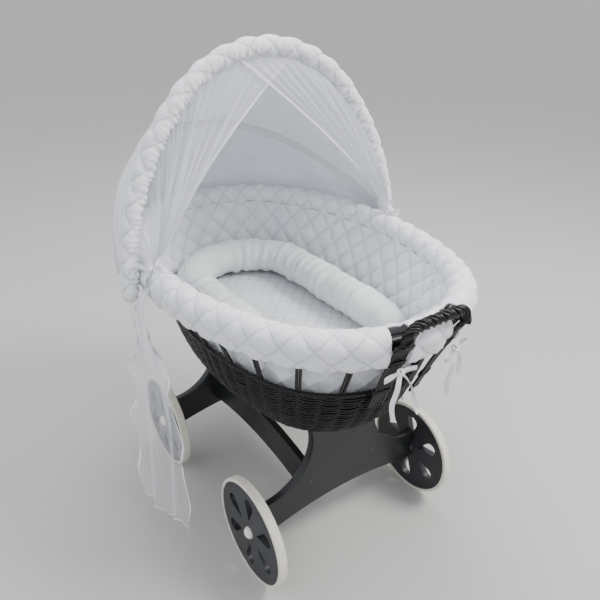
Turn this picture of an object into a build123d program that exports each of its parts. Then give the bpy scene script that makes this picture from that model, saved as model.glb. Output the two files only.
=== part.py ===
from build123d import *
import os
from math import asin, atan2, cos, degrees, radians, sin, sqrt

# Wicker bassinet on a wheeled wooden stand, in millimetres.
# X runs across, Y along the bed with the hood at +Y, Z up from the floor.
# The origin is on the floor, under the middle of the whole object.

# Stand
WHEELBASE = 490
PANEL_T = 22
PANEL_TOP_Z = 394.5
PANEL_FOOT_Z = 110
PANEL_ARCH_RISE = 28
PANEL_ARCH_SPAN = 430
LEG_TOP_Z = 202
LEG_END_X = 250
WAIST_R = 132
WAIST_X = 99
WAIST_Z = 332
PANEL_EDGE_R = 5
RAIL_X = 100
RAIL_T = 22
RAIL_END_Z = 165
RAIL_H = 86
RAIL_RISE = 28
RAIL_EDGE_R = 4
RAIL_BOLT_Z = 212
RAIL_BOLT_R = 3
RAIL_BOLT_L = 70
BOLT_HEAD_R = 6.5
BOLT_HEAD_T = 3
BOLT_PAST_NUT = 8
BARREL_NUT_R = 5
BARREL_NUT_L = 16

# Wheels
WHEEL_R = 135
TYRE_T = 8
TYRE_W = 22
TYRE_EDGE_R = 3.5
DISC_T = 18
DISC_EDGE = 1.2
DROP_COUNT = 6
DROP_START = 30
DROP_TIP = 38
DROP_CENTRE = 86
DROP_R = 17
AXLE_R = 4
AXLE_DEPTH = 60
AXLE_HEAD_R = 7
AXLE_HEAD_T = 5
RUNNING_GAP = 0.05
SIDE_GAP = 0.5
WASHER_R = 12
WASHER_T = 3
CAP_R = 15
CAP_H = 12
CAP_WALL = 3

# Basket: every ring is an oval of four arcs
BASKET_FROM_STAND_Y = 10
FLOOR_Z = 395
FLOOR_A = 325
FLOOR_B = 190
BAND_Z = 551
BAND_A = 412
BAND_B = 266
WALL = 12
FLOOR_T = 12
RIM_Z = 705
RIM_A = 470
RIM_B = 330
END_FULLNESS = 0.89
BORDER_R = 15
ROLL_R = 25
COVER_GAP = 0.3
COVER_SLOT_IN = 11
COVER_SLOT_OUT = 6
FLAP_Z = 662
FLAP_IN = 12
FLAP_T = 5
STAKE_PAIRS = 24
STAKE_R = 3.4
STAKE_PITCH = 7.4
STAKE_GAP = 3
LINER_T = 6
LINER_GAP = 3
LINER_TOP_Z = 683
LINER_FOOT_Z = 440
BATTEN_L = 150
BATTEN_W = 20
BATTEN_H = 18
BATTEN_GAP = 1.5

# Handle at the foot end
HANDLE_SPREAD = 76
HANDLE_R = 13
HANDLE_TOP_Z = 750
HANDLE_BEND = 27
HANDLE_LEAN = 18
POST_W = 36
POST_T = 8
POST_TOP_Z = 722
POST_FOOT_DROP = 32
NOTCH_GAP = 4
NOTCH_H = 100

# Bedding
MATTRESS_A = 330
MATTRESS_B = 194
MATTRESS_T = 88
MATTRESS_EDGE_R = 12
PAD_A = 362
PAD_B = 222
PAD_T = 15
PAD_EDGE_R = 5
LAY_GAP = 1
BOLSTER_R = 51
BOLSTER_X = 157
BOLSTER_HEAD_Y = 168
BOLSTER_FOOT_Y = -218

# Hood
PIVOT_Y = 50
FRONT_LEAN = 4
REAR_LEAN = 61
SKIRT_LEAN = 106
ARCH_H = 459
FOOT_DROP = 50
ARCH_W = 381
CROWN_R = 300
STRIP_T = 4
STRIP_W = 20
STRIP_STEP = 5.5
HOOD_ROLL_R = 22
ROLL_GAP = 0.6
CANOPY_OFF = 8
CANOPY_T = 3
CANOPY_FOOT = 32
PIVOT_BOLT_R = 3
PIVOT_HEAD_R = 8
PIVOT_HEAD_T = 3
PIVOT_SAG = 3
SPACER_R = 7
WING_NUT_R = 12
WING_NUT_T = 6
RECESS_R = 15
HOLE_GAP = 0.2

# Veil and ribbons
CURTAIN_T = 3
CURTAIN_START = 67
CURTAIN_FOOT_H = 58
CURTAIN_SAG = 30
TAIL_T = 3
TAIL_FOOT_Z = 45
TAIL_TOP_Z = 720
TAIL_WAIST_Z = 600
TAIL_SET_FORWARD = 36
TAIL_TOP_W = 70
TAIL_FOOT_W = 170
KNOT_R = 7
KNOT_W = 12
LOOP_L = 36
LOOP_W = 16
LOOP_T = 7
LOOP_TILT = 15
TAIL_TILT = 10
BOW_TURN = 65
BOW_SET_FORWARD = 55
FOOT_BOW_Z = 655
RIBBON_W = 9
RIBBON_T = 1.5
BOW_TAIL_L = 70
FOOT_TAIL_L = 118
TIE_TAIL_L = 60

# Worked-out places
RIM_END_R = RIM_B * END_FULLNESS
POST_R = RIM_END_R + BORDER_R + COVER_GAP
POST_HEAD_R = POST_R + HANDLE_LEAN + POST_T / 2
POST_TURN = degrees(asin(HANDLE_SPREAD / POST_HEAD_R))
FOOT_BOW_R = POST_R + KNOT_R
FRONT_REACH = RIM_A - RIM_END_R + POST_HEAD_R * cos(radians(POST_TURN)) + HANDLE_R
REAR_REACH = PIVOT_Y + ARCH_H + CANOPY_OFF + CANOPY_T
BASKET_Y = (FRONT_REACH - REAR_REACH) / 2
STAND_Y = BASKET_Y - BASKET_FROM_STAND_Y
PANEL_YS = {"front": STAND_Y - WHEELBASE / 2, "rear": STAND_Y + WHEELBASE / 2}
SIDES = {"left": -1, "right": 1}
HOOD_Y = BASKET_Y + PIVOT_Y
RIM_END_Y = BASKET_Y - (RIM_A - RIM_END_R)
MATTRESS_Z = FLOOR_Z + FLOOR_T + LAY_GAP
PAD_Z = MATTRESS_Z + MATTRESS_T + LAY_GAP
BOLSTER_Z = PAD_Z + PAD_T + LAY_GAP + BOLSTER_R
ROLL_OUT_X = RIM_B + ROLL_R
TAIL_X = ROLL_OUT_X + SIDE_GAP
FLAP_TOP_Z = RIM_Z - ROLL_R / 3
FLAP_TOP_GROW = ROLL_R - 2

os.makedirs("parts", exist_ok=True)


def save(piece, label):
    """Label a finished piece and write it."""
    piece.part.label = label
    export_step(piece.part, f"parts/{label}.step")


# ---- Outlines shared by several pieces ----


def oval_arcs(half_length, half_width, grow=0.0):
    """Closed oval of four tangent arcs; grow moves it outwards, parallel to itself."""
    end_r = half_width * END_FULLNESS
    side_r = (half_length**2 + half_width**2 - 2 * half_length * end_r) / (2 * (half_width - end_r))
    turn = degrees(atan2(half_length - end_r, side_r - half_width))
    with BuildLine() as outline:
        CenterArc((half_width - side_r, 0), side_r + grow, -turn, 2 * turn)
        CenterArc((0, half_length - end_r), end_r + grow, turn, 180 - 2 * turn)
        CenterArc((side_r - half_width, 0), side_r + grow, 180 - turn, 2 * turn)
        CenterArc((0, end_r - half_length), end_r + grow, 180 + turn, 180 - 2 * turn)
    return outline


def oval(half_length, half_width, grow=0.0, mode=Mode.ADD):
    """Filled oval in the sketch that is open."""
    make_face(oval_arcs(half_length, half_width, grow).edges(), mode=mode)


def level(z):
    """Horizontal plane at a height, centred on the basket."""
    return Plane((0, BASKET_Y, z))


def bowl_wall(sections, thickness):
    """Open-ended oval wall through (z, half length, half width) sections, top to bottom."""
    with BuildPart() as wall:
        for z, half_length, half_width in sections:
            with BuildSketch(level(z)):
                oval(half_length, half_width)
        loft()
        for z, half_length, half_width in sections:
            with BuildSketch(level(z)):
                oval(half_length, half_width, -thickness)
        loft(mode=Mode.SUBTRACT)
    return wall


def arch_line(grow=0.0, foot_drop=FOOT_DROP):
    """Hoop line of three tangent arcs, drawn from the pivot axis, foot to foot."""
    height = ARCH_H + FOOT_DROP
    side_r = (ARCH_W**2 + (height - CROWN_R) ** 2 - CROWN_R**2) / (2 * (ARCH_W - CROWN_R))
    turn = degrees(atan2(height - CROWN_R, side_r - ARCH_W))
    start = degrees(asin((FOOT_DROP - foot_drop) / side_r))
    with BuildLine() as arch:
        CenterArc((ARCH_W - side_r, -FOOT_DROP), side_r + grow, start, turn - start)
        CenterArc((0, ARCH_H - CROWN_R), CROWN_R + grow, turn, 180 - 2 * turn)
        CenterArc((side_r - ARCH_W, -FOOT_DROP), side_r + grow, 180 - turn, turn - start)
    return arch.line


def hood_plane(lean, forward=0.0):
    """Plane through the pivot axis, leaning back; its Y points up the hood."""
    up = Vector(0, sin(radians(lean)), cos(radians(lean)))
    out = Vector(1, 0, 0).cross(up)
    return Plane(Vector(0, HOOD_Y, RIM_Z) + out * forward, x_dir=(1, 0, 0), z_dir=out)


def across(side, x, y, z):
    """Plane facing outwards on one side of the object."""
    return Plane((side * x, y, z), x_dir=(0, side, 0), z_dir=(side, 0, 0))


def drill_pivot(radius):
    """Straight hole along the pivot axis, right through the part that is open."""
    with BuildSketch(Plane((0, HOOD_Y, RIM_Z), z_dir=(1, 0, 0))) as hole:
        Circle(radius)
    extrude(hole.sketch, amount=2 * ARCH_W, both=True, mode=Mode.SUBTRACT)


# ---- Stand ----


def panel_outline():
    """Cross panel seen from the end: two low legs, a narrow waist, a flared top."""
    arch_half = PANEL_ARCH_SPAN / 2
    waist_centre = WAIST_X + WAIST_R
    top_half = waist_centre - sqrt(WAIST_R**2 - (PANEL_TOP_Z - WAIST_Z) ** 2)
    with BuildLine() as outline:
        ThreePointArc((-arch_half, PANEL_FOOT_Z), (0, PANEL_FOOT_Z + PANEL_ARCH_RISE), (arch_half, PANEL_FOOT_Z))
        for side in SIDES.values():
            waist = WAIST_Z - WAIST_R
            Polyline(
                (side * arch_half, PANEL_FOOT_Z),
                (side * LEG_END_X, PANEL_FOOT_Z),
                (side * LEG_END_X, LEG_TOP_Z),
                (side * waist_centre, waist),
            )
            ThreePointArc(
                (side * waist_centre, waist),
                (side * (waist_centre - WAIST_R * sqrt(0.5)), WAIST_Z - WAIST_R * sqrt(0.5)),
                (side * WAIST_X, WAIST_Z),
            )
            flare = (WAIST_Z + PANEL_TOP_Z) / 2
            flare_x = waist_centre - sqrt(WAIST_R**2 - (flare - WAIST_Z) ** 2)
            ThreePointArc((side * WAIST_X, WAIST_Z), (side * flare_x, flare), (side * top_half, PANEL_TOP_Z))
        Line((-top_half, PANEL_TOP_Z), (top_half, PANEL_TOP_Z))
    make_face(outline.edges())


def bolt_seat(end, side):
    """Plane under the sunk head of a bolt through a cross panel, facing outwards."""
    outward = -1 if end == "front" else 1
    seat_y = PANEL_YS[end] + outward * (PANEL_T / 2 - BOLT_HEAD_T)
    return Plane((side * RAIL_X, seat_y, RAIL_BOLT_Z), z_dir=(0, outward, 0))


for end, panel_y in PANEL_YS.items():
    with BuildPart() as panel:
        with BuildSketch(Plane((0, panel_y, 0), x_dir=(1, 0, 0), z_dir=(0, -1, 0))):
            panel_outline()
        extrude(amount=PANEL_T / 2, both=True)
        fillet(panel.faces().sort_by(Axis.Y)[0].edges(), PANEL_EDGE_R)
        fillet(panel.faces().sort_by(Axis.Y)[-1].edges(), PANEL_EDGE_R)
        for side in SIDES.values():
            with BuildSketch(across(side, LEG_END_X - AXLE_DEPTH, panel_y, WHEEL_R)):
                Circle(AXLE_R)
            extrude(amount=AXLE_DEPTH, mode=Mode.SUBTRACT)
            with BuildSketch(bolt_seat(end, side)):
                Circle(BOLT_HEAD_R + HOLE_GAP)
            extrude(amount=BOLT_HEAD_T, mode=Mode.SUBTRACT)
            with BuildSketch(bolt_seat(end, side)):
                Circle(RAIL_BOLT_R + RUNNING_GAP)
            extrude(amount=-PANEL_T, mode=Mode.SUBTRACT)
    save(panel, f"{end}_panel")

inner_front = PANEL_YS["front"] + PANEL_T / 2
inner_rear = PANEL_YS["rear"] - PANEL_T / 2
barrel_depth = RAIL_BOLT_L + BOLT_HEAD_T - PANEL_T - BOLT_PAST_NUT
barrel_y = {"front": inner_front + barrel_depth, "rear": inner_rear - barrel_depth}

for hand, side in SIDES.items():
    with BuildPart() as rail:
        with BuildSketch(Plane((side * RAIL_X, 0, 0), x_dir=(0, 1, 0), z_dir=(1, 0, 0))):
            with BuildLine():
                lower = ThreePointArc(
                    (inner_front, RAIL_END_Z), (STAND_Y, RAIL_END_Z + RAIL_RISE), (inner_rear, RAIL_END_Z)
                )
                upper = ThreePointArc(
                    (inner_front, RAIL_END_Z + RAIL_H),
                    (STAND_Y, RAIL_END_Z + RAIL_H + RAIL_RISE),
                    (inner_rear, RAIL_END_Z + RAIL_H),
                )
                Line(lower @ 0, upper @ 0)
                Line(lower @ 1, upper @ 1)
            make_face()
        extrude(amount=RAIL_T / 2, both=True)
        fillet(rail.edges().filter_by(GeomType.CIRCLE), RAIL_EDGE_R)
        for end, y in barrel_y.items():
            with BuildSketch(bolt_seat(end, side)):
                Circle(RAIL_BOLT_R + RUNNING_GAP)
            extrude(amount=-RAIL_BOLT_L - BOLT_HEAD_T, mode=Mode.SUBTRACT)
            with BuildSketch(Plane((side * RAIL_X, y, RAIL_BOLT_Z), z_dir=(1, 0, 0))):
                Circle(BARREL_NUT_R)
            extrude(amount=BARREL_NUT_L / 2, both=True, mode=Mode.SUBTRACT)
    save(rail, f"{hand}_rail")

with BuildPart() as panel_bolts:
    for end in PANEL_YS:
        for side in SIDES.values():
            with BuildSketch(bolt_seat(end, side)):
                Circle(BOLT_HEAD_R)
            extrude(amount=BOLT_HEAD_T)
            with BuildSketch(bolt_seat(end, side)):
                Circle(RAIL_BOLT_R)
            extrude(amount=-RAIL_BOLT_L)
save(panel_bolts, "panel_bolts")

with BuildPart() as barrel_nuts:
    for y in barrel_y.values():
        for side in SIDES.values():
            with BuildSketch(Plane((side * RAIL_X, y, RAIL_BOLT_Z), z_dir=(1, 0, 0))):
                Circle(BARREL_NUT_R)
            extrude(amount=BARREL_NUT_L / 2, both=True)
            with BuildSketch(Plane((side * RAIL_X, y, RAIL_BOLT_Z), z_dir=(0, 1, 0))):
                Circle(RAIL_BOLT_R + RUNNING_GAP)
            extrude(amount=BARREL_NUT_R, both=True, mode=Mode.SUBTRACT)
save(barrel_nuts, "barrel_nuts")

# ---- Wheels, axles and hub caps ----

disc_r = WHEEL_R - TYRE_T
disc_x = LEG_END_X + WASHER_T + SIDE_GAP
tyre_x = disc_x + DISC_T / 2 - TYRE_W / 2
drop_turn = degrees(asin(DROP_R / (DROP_CENTRE - DROP_TIP)))
drop_shoulder = (DROP_CENTRE - DROP_R * sin(radians(drop_turn)), DROP_R * cos(radians(drop_turn)))

for end, wheel_y in PANEL_YS.items():
    for hand, side in SIDES.items():
        corner = f"{end}_{hand}"
        with BuildPart() as disc:
            with BuildSketch(across(side, disc_x, wheel_y, WHEEL_R)):
                Circle(disc_r)
                Circle(AXLE_R + RUNNING_GAP, mode=Mode.SUBTRACT)
                with PolarLocations(0, DROP_COUNT, start_angle=DROP_START):
                    Polygon(
                        (DROP_TIP, 0), drop_shoulder, (drop_shoulder[0], -drop_shoulder[1]),
                        align=None, mode=Mode.SUBTRACT,
                    )
                with PolarLocations(DROP_CENTRE, DROP_COUNT, start_angle=DROP_START):
                    Circle(DROP_R, mode=Mode.SUBTRACT)
            extrude(amount=DISC_T)
            chamfer(disc.faces().sort_by(Axis.X)[0].outer_wire().edges(), DISC_EDGE)
            chamfer(disc.faces().sort_by(Axis.X)[-1].outer_wire().edges(), DISC_EDGE)
        save(disc, f"{corner}_wheel_disc")

        with BuildPart() as tyre:
            with BuildSketch(across(side, tyre_x, wheel_y, WHEEL_R)):
                Circle(WHEEL_R)
                Circle(disc_r, mode=Mode.SUBTRACT)
            extrude(amount=TYRE_W)
            fillet(tyre.edges().filter_by(GeomType.CIRCLE).group_by(SortBy.RADIUS)[-1], TYRE_EDGE_R)
        save(tyre, f"{corner}_tyre")

        with BuildPart() as axle:
            with BuildSketch(across(side, LEG_END_X - AXLE_DEPTH, wheel_y, WHEEL_R)):
                Circle(AXLE_R)
            extrude(amount=AXLE_DEPTH + WASHER_T + DISC_T + 2 * SIDE_GAP)
            with BuildSketch(across(side, disc_x + DISC_T + SIDE_GAP, wheel_y, WHEEL_R)):
                RegularPolygon(AXLE_HEAD_R, 6)
            extrude(amount=AXLE_HEAD_T)
        save(axle, f"{corner}_axle_bolt")

        with BuildPart() as cap:
            cap_plane = Plane((side * (disc_x + DISC_T), wheel_y, WHEEL_R), x_dir=(side, 0, 0), z_dir=(0, 0, 1))
            with BuildSketch(cap_plane):
                with BuildLine():
                    inner_r = CAP_R - CAP_WALL
                    inner_h = CAP_H - CAP_WALL
                    EllipticalCenterArc((0, 0), CAP_H, CAP_R, 0, arc_size=90)
                    EllipticalCenterArc((0, 0), inner_h, inner_r, 0, arc_size=90)
                    Line((inner_h, 0), (CAP_H, 0))
                    Line((0, inner_r), (0, CAP_R))
                make_face()
            revolve(axis=Axis((0, wheel_y, WHEEL_R), (1, 0, 0)))
        save(cap, f"{corner}_hub_cap")

with BuildPart() as washers:
    for wheel_y in PANEL_YS.values():
        for side in SIDES.values():
            with BuildSketch(across(side, LEG_END_X, wheel_y, WHEEL_R)):
                Circle(WASHER_R)
                Circle(AXLE_R, mode=Mode.SUBTRACT)
            extrude(amount=WASHER_T)
save(washers, "axle_washers")

# ---- Basket ----


def bowl_share(z):
    """Share of the bowl's flare reached at a height: steep low down, upright near the top."""
    return sqrt((z - FLOOR_Z) / (BAND_Z - FLOOR_Z))


def bowl_section(z, inset=0.0):
    """Height, half length and half width of the bowl's outer face, moved in."""
    share = bowl_share(z)
    half_length = FLOOR_A + (BAND_A - FLOOR_A) * share
    half_width = FLOOR_B + (BAND_B - FLOOR_B) * share
    return (z, half_length - inset, half_width - inset)


bowl_heights = [FLOOR_Z + (BAND_Z - FLOOR_Z) * share**2 for share in (0, 0.25, 0.5, 0.75, 1)]
basket_weave = bowl_wall([bowl_section(z) for z in bowl_heights], WALL)
save(basket_weave, "basket_weave")

with BuildPart() as basket_floor:
    with BuildSketch(level(FLOOR_Z)):
        oval(FLOOR_A, FLOOR_B, -WALL - LAY_GAP)
    extrude(amount=FLOOR_T)
save(basket_floor, "basket_floor")

with BuildPart() as floor_battens:
    for wall_y, inward in ((inner_front, 1), (inner_rear, -1)):
        middle_y = wall_y + inward * (BATTEN_GAP + BATTEN_W / 2)
        with BuildSketch(Plane((0, middle_y, FLOOR_Z - BATTEN_H))):
            RectangleRounded(BATTEN_L, BATTEN_W, BATTEN_W / 5)
        extrude(amount=BATTEN_H)
save(floor_battens, "floor_battens")

rim_line = Wire(oval_arcs(RIM_A, RIM_B).edges()).moved(Location((0, BASKET_Y, RIM_Z)))


def rim_plane():
    """Plane across the rim at the start of its line."""
    return Plane(rim_line @ 0, x_dir=(0, 0, 1), z_dir=rim_line % 0)


def stake_foot_and_head(station, half):
    """Ends of one stake: in the top of the woven band, and under the rim."""
    stake_ends = []
    foot_z = BAND_Z + STAKE_GAP
    head_z = RIM_Z - BORDER_R - STAKE_GAP
    for z, half_length, half_width, grow in (
        (foot_z, BAND_A, BAND_B, -WALL / 2),
        (head_z, RIM_A, RIM_B, -STAKE_R),
    ):
        ring = Wire(oval_arcs(half_length, half_width, grow).edges())
        along = (station + half * STAKE_PITCH / 2 / ring.length) % 1
        stake_ends.append(ring.moved(Location((0, BASKET_Y, z))) @ along)
    return stake_ends


with BuildPart() as basket_stakes:
    for pair in range(STAKE_PAIRS):
        for half in (-1, 1):
            foot, head = stake_foot_and_head((pair + 0.5) / STAKE_PAIRS, half)
            with BuildSketch(Plane(foot, z_dir=head - foot)):
                Circle(STAKE_R)
            extrude(amount=(head - foot).length)
save(basket_stakes, "basket_stakes")

with BuildPart() as rim_border:
    with BuildSketch(rim_plane()):
        Circle(BORDER_R)
    sweep(path=rim_line)
    drill_pivot(PIVOT_BOLT_R + HOLE_GAP)
save(rim_border, "rim_border")

# ---- Handle at the foot end, on two flat posts that follow the end arc ----


def post_plane(side):
    """Upright plane through one post, its X pointing out from the end arc's centre."""
    heading = Vector(side * sin(radians(POST_TURN)), -cos(radians(POST_TURN)), 0)
    return Plane((0, RIM_END_Y, 0), x_dir=heading, z_dir=heading.cross(Vector(0, 0, 1)))


for hand, side in SIDES.items():
    with BuildPart() as post:
        with BuildSketch(post_plane(side)):
            with BuildLine():
                foot_r = BAND_A - (RIM_A - RIM_END_R) + LAY_GAP
                foot_z = BAND_Z - POST_FOOT_DROP
                knee_z = RIM_Z - BORDER_R
                head_r = POST_R + HANDLE_LEAN
                Polyline(
                    (head_r, POST_TOP_Z), (POST_R, knee_z), (foot_r, foot_z),
                    (foot_r + POST_T, foot_z), (POST_R + POST_T, knee_z),
                    (head_r + POST_T, POST_TOP_Z), close=True,
                )
            make_face()
        extrude(amount=POST_W / 2, both=True)
    save(post, f"{hand}_handle_post")

handle_y = RIM_END_Y - POST_HEAD_R * cos(radians(POST_TURN))
with BuildPart() as foot_handle:
    with BuildLine(Plane((0, handle_y, 0), x_dir=(1, 0, 0), z_dir=(0, -1, 0))) as handle_line:
        FilletPolyline(
            (-HANDLE_SPREAD, POST_TOP_Z), (-HANDLE_SPREAD, HANDLE_TOP_Z),
            (HANDLE_SPREAD, HANDLE_TOP_Z), (HANDLE_SPREAD, POST_TOP_Z),
            radius=HANDLE_BEND,
        )
    with BuildSketch(Plane(handle_line.line @ 0, z_dir=handle_line.line % 0)):
        Circle(HANDLE_R)
    sweep(path=handle_line.line)
save(foot_handle, "foot_handle")

# ---- Quilted rim cover and liner ----

with BuildPart() as rim_cover:
    with BuildSketch(level(FLAP_TOP_Z)):
        oval(RIM_A, RIM_B, FLAP_TOP_GROW)
    with BuildSketch(level(FLAP_Z)):
        oval(RIM_A, RIM_B, ROLL_R - FLAP_IN)
    loft()
    with BuildSketch(level(FLAP_TOP_Z)):
        oval(RIM_A, RIM_B, FLAP_TOP_GROW - FLAP_T)
    with BuildSketch(level(FLAP_Z)):
        oval(RIM_A, RIM_B, ROLL_R - FLAP_IN - FLAP_T)
    loft(mode=Mode.SUBTRACT)
    with BuildSketch(rim_plane()):
        Circle(ROLL_R)
    sweep(path=rim_line)
    with BuildSketch(rim_plane()):
        Circle(BORDER_R + COVER_GAP)
    sweep(path=rim_line, mode=Mode.SUBTRACT)
    with BuildSketch(level(RIM_Z - ROLL_R)):
        oval(RIM_A, RIM_B, COVER_SLOT_OUT)
        oval(RIM_A, RIM_B, -COVER_SLOT_IN, Mode.SUBTRACT)
    extrude(amount=ROLL_R, mode=Mode.SUBTRACT)
    for side in SIDES.values():
        with BuildSketch(post_plane(side)):
            with Locations((POST_R, RIM_Z)):
                Rectangle(2 * ROLL_R, NOTCH_H)
        extrude(amount=POST_W / 2 + NOTCH_GAP, both=True, mode=Mode.SUBTRACT)
    drill_pivot(PIVOT_BOLT_R + HOLE_GAP)
save(rim_cover, "rim_cover")


def liner_section(z):
    """Liner's outer face: clear of the bowl below the band, of the stakes above it."""
    if z <= BAND_Z:
        return bowl_section(z, WALL + LINER_GAP)
    share = (z - BAND_Z) / (RIM_Z - BAND_Z)
    inset = WALL + LINER_GAP
    half_length = BAND_A - inset + (RIM_A - BAND_A) * share
    half_width = BAND_B - inset + (RIM_B - BAND_B) * share
    return (z, half_length, half_width)


liner_heights = (LINER_FOOT_Z, (LINER_FOOT_Z + BAND_Z) / 2, BAND_Z, (BAND_Z + LINER_TOP_Z) / 2, LINER_TOP_Z)
liner = bowl_wall([liner_section(z) for z in liner_heights], LINER_T)
save(liner, "liner")

# ---- Bedding ----

with BuildPart() as mattress:
    with BuildSketch(level(MATTRESS_Z)):
        oval(MATTRESS_A, MATTRESS_B)
    extrude(amount=MATTRESS_T)
    fillet(mattress.edges().filter_by(Plane.XY), MATTRESS_EDGE_R)
save(mattress, "mattress")

with BuildPart() as nest_pad:
    with BuildSketch(level(PAD_Z)):
        oval(PAD_A, PAD_B)
    extrude(amount=PAD_T)
    fillet(nest_pad.edges().filter_by(Plane.XY), PAD_EDGE_R)
save(nest_pad, "nest_pad")

with BuildPart() as nest_bolster:
    with BuildLine(level(BOLSTER_Z)) as bolster_line:
        Line((BOLSTER_X, BOLSTER_FOOT_Y), (BOLSTER_X, BOLSTER_HEAD_Y))
        CenterArc((0, BOLSTER_HEAD_Y), BOLSTER_X, 0, 180)
        Line((-BOLSTER_X, BOLSTER_HEAD_Y), (-BOLSTER_X, BOLSTER_FOOT_Y))
    with BuildSketch(Plane(bolster_line.line @ 0, z_dir=bolster_line.line % 0)):
        Circle(BOLSTER_R)
    sweep(path=bolster_line.line)
    for side in SIDES.values():
        with Locations((side * BOLSTER_X, BASKET_Y + BOLSTER_FOOT_Y, BOLSTER_Z)):
            Sphere(BOLSTER_R)
save(nest_bolster, "nest_bolster")

# ---- Hood: two bent strips, a padded roll, the canopy and its rear skirt ----


def strip_part(lean, grow, foot_drop, gap=0.0):
    """Flat strip bent to the hoop line, or with a gap, the room that it needs."""
    with BuildPart() as strip:
        with BuildSketch(hood_plane(lean)):
            outer = arch_line(grow + STRIP_T / 2 + gap, foot_drop + gap)
            inner = arch_line(grow - STRIP_T / 2 - gap, foot_drop + gap)
            with BuildLine():
                add(outer)
                add(inner)
                Line(outer @ 0, inner @ 0)
                Line(outer @ 1, inner @ 1)
            make_face()
        extrude(amount=STRIP_W / 2 + gap, both=True)
    return strip


hoops = {"hood_front_hoop": (FRONT_LEAN, 0, FOOT_DROP), "hood_rear_hoop": (REAR_LEAN, STRIP_STEP, STRIP_W / 2)}
for label, (lean, grow, foot_drop) in hoops.items():
    with BuildPart() as hoop:
        add(strip_part(lean, grow, foot_drop))
        drill_pivot(PIVOT_BOLT_R + RUNNING_GAP)
    save(hoop, label)


def hoop_tube(radius, mode=Mode.ADD):
    """Round tube along the front hoop, in the part that is open."""
    hoop_line = Wire(arch_line().edges()).moved(hood_plane(FRONT_LEAN).location)
    with BuildSketch(Plane(hoop_line @ 0, z_dir=hoop_line % 0)) as section:
        Circle(radius)
    sweep(section.sketch, path=hoop_line, mode=mode)


nut_x = ARCH_W + STRIP_STEP + STRIP_T / 2 + SIDE_GAP
with BuildPart() as hood_roll:
    hoop_tube(HOOD_ROLL_R)
    for lean, grow, foot_drop in hoops.values():
        add(strip_part(lean, grow, foot_drop, COVER_GAP), mode=Mode.SUBTRACT)
    for side in SIDES.values():
        with BuildSketch(across(side, RIM_B, HOOD_Y, RIM_Z)):
            Circle(RECESS_R)
        extrude(amount=nut_x + WING_NUT_T + SIDE_GAP * 2 - RIM_B, mode=Mode.SUBTRACT)
save(hood_roll, "hood_roll")


def shell_piece(label, lean_from, lean_to):
    """Thin cloth shell swept about the pivot axis, so it clears the rim at any tilt."""
    with BuildPart() as shell:
        with BuildSketch(hood_plane(lean_from)):
            outer = arch_line(CANOPY_OFF + CANOPY_T, -CANOPY_FOOT)
            inner = arch_line(CANOPY_OFF, -CANOPY_FOOT)
            with BuildLine():
                add(outer)
                add(inner)
                Line(outer @ 0, inner @ 0)
                Line(outer @ 1, inner @ 1)
            make_face()
        revolve(axis=Axis((0, HOOD_Y, RIM_Z), (-1, 0, 0)), revolution_arc=lean_to - lean_from)
        hoop_tube(HOOD_ROLL_R + ROLL_GAP, Mode.SUBTRACT)
    save(shell, label)


shell_piece("hood_canopy", FRONT_LEAN, REAR_LEAN)
shell_piece("hood_skirt", REAR_LEAN, SKIRT_LEAN)

for hand, side in SIDES.items():
    with BuildPart() as pivot_bolt:
        head_x = RIM_B - ROLL_R - PIVOT_SAG
        with BuildSketch(across(side, head_x, HOOD_Y, RIM_Z)):
            Circle(PIVOT_BOLT_R)
        extrude(amount=nut_x + WING_NUT_T - head_x)
        with BuildSketch(across(side, head_x, HOOD_Y, RIM_Z)):
            Circle(PIVOT_HEAD_R)
        extrude(amount=-PIVOT_HEAD_T)
        fillet(pivot_bolt.faces().sort_by(Axis.X)[0 if side > 0 else -1].edges(), PIVOT_HEAD_T / 2)
    save(pivot_bolt, f"{hand}_pivot_bolt")

with BuildPart() as pivot_spacers:
    for side in SIDES.values():
        spacer_x = ROLL_OUT_X + COVER_GAP
        strip_x = ARCH_W - STRIP_T - PIVOT_SAG
        with BuildSketch(across(side, spacer_x, HOOD_Y, RIM_Z)):
            Circle(SPACER_R)
            Circle(PIVOT_BOLT_R, mode=Mode.SUBTRACT)
        extrude(amount=strip_x - spacer_x)
save(pivot_spacers, "pivot_spacers")

with BuildPart() as wing_nuts:
    for side in SIDES.values():
        with BuildSketch(across(side, nut_x, HOOD_Y, RIM_Z)):
            Circle(WING_NUT_R / 2)
            SlotOverall(2 * WING_NUT_R, WING_NUT_R / 2)
            Circle(PIVOT_BOLT_R, mode=Mode.SUBTRACT)
        extrude(amount=WING_NUT_T)
save(wing_nuts, "wing_nuts")

# ---- Veil: two crossed curtains in the hood mouth, and a tail down each side ----

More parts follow.
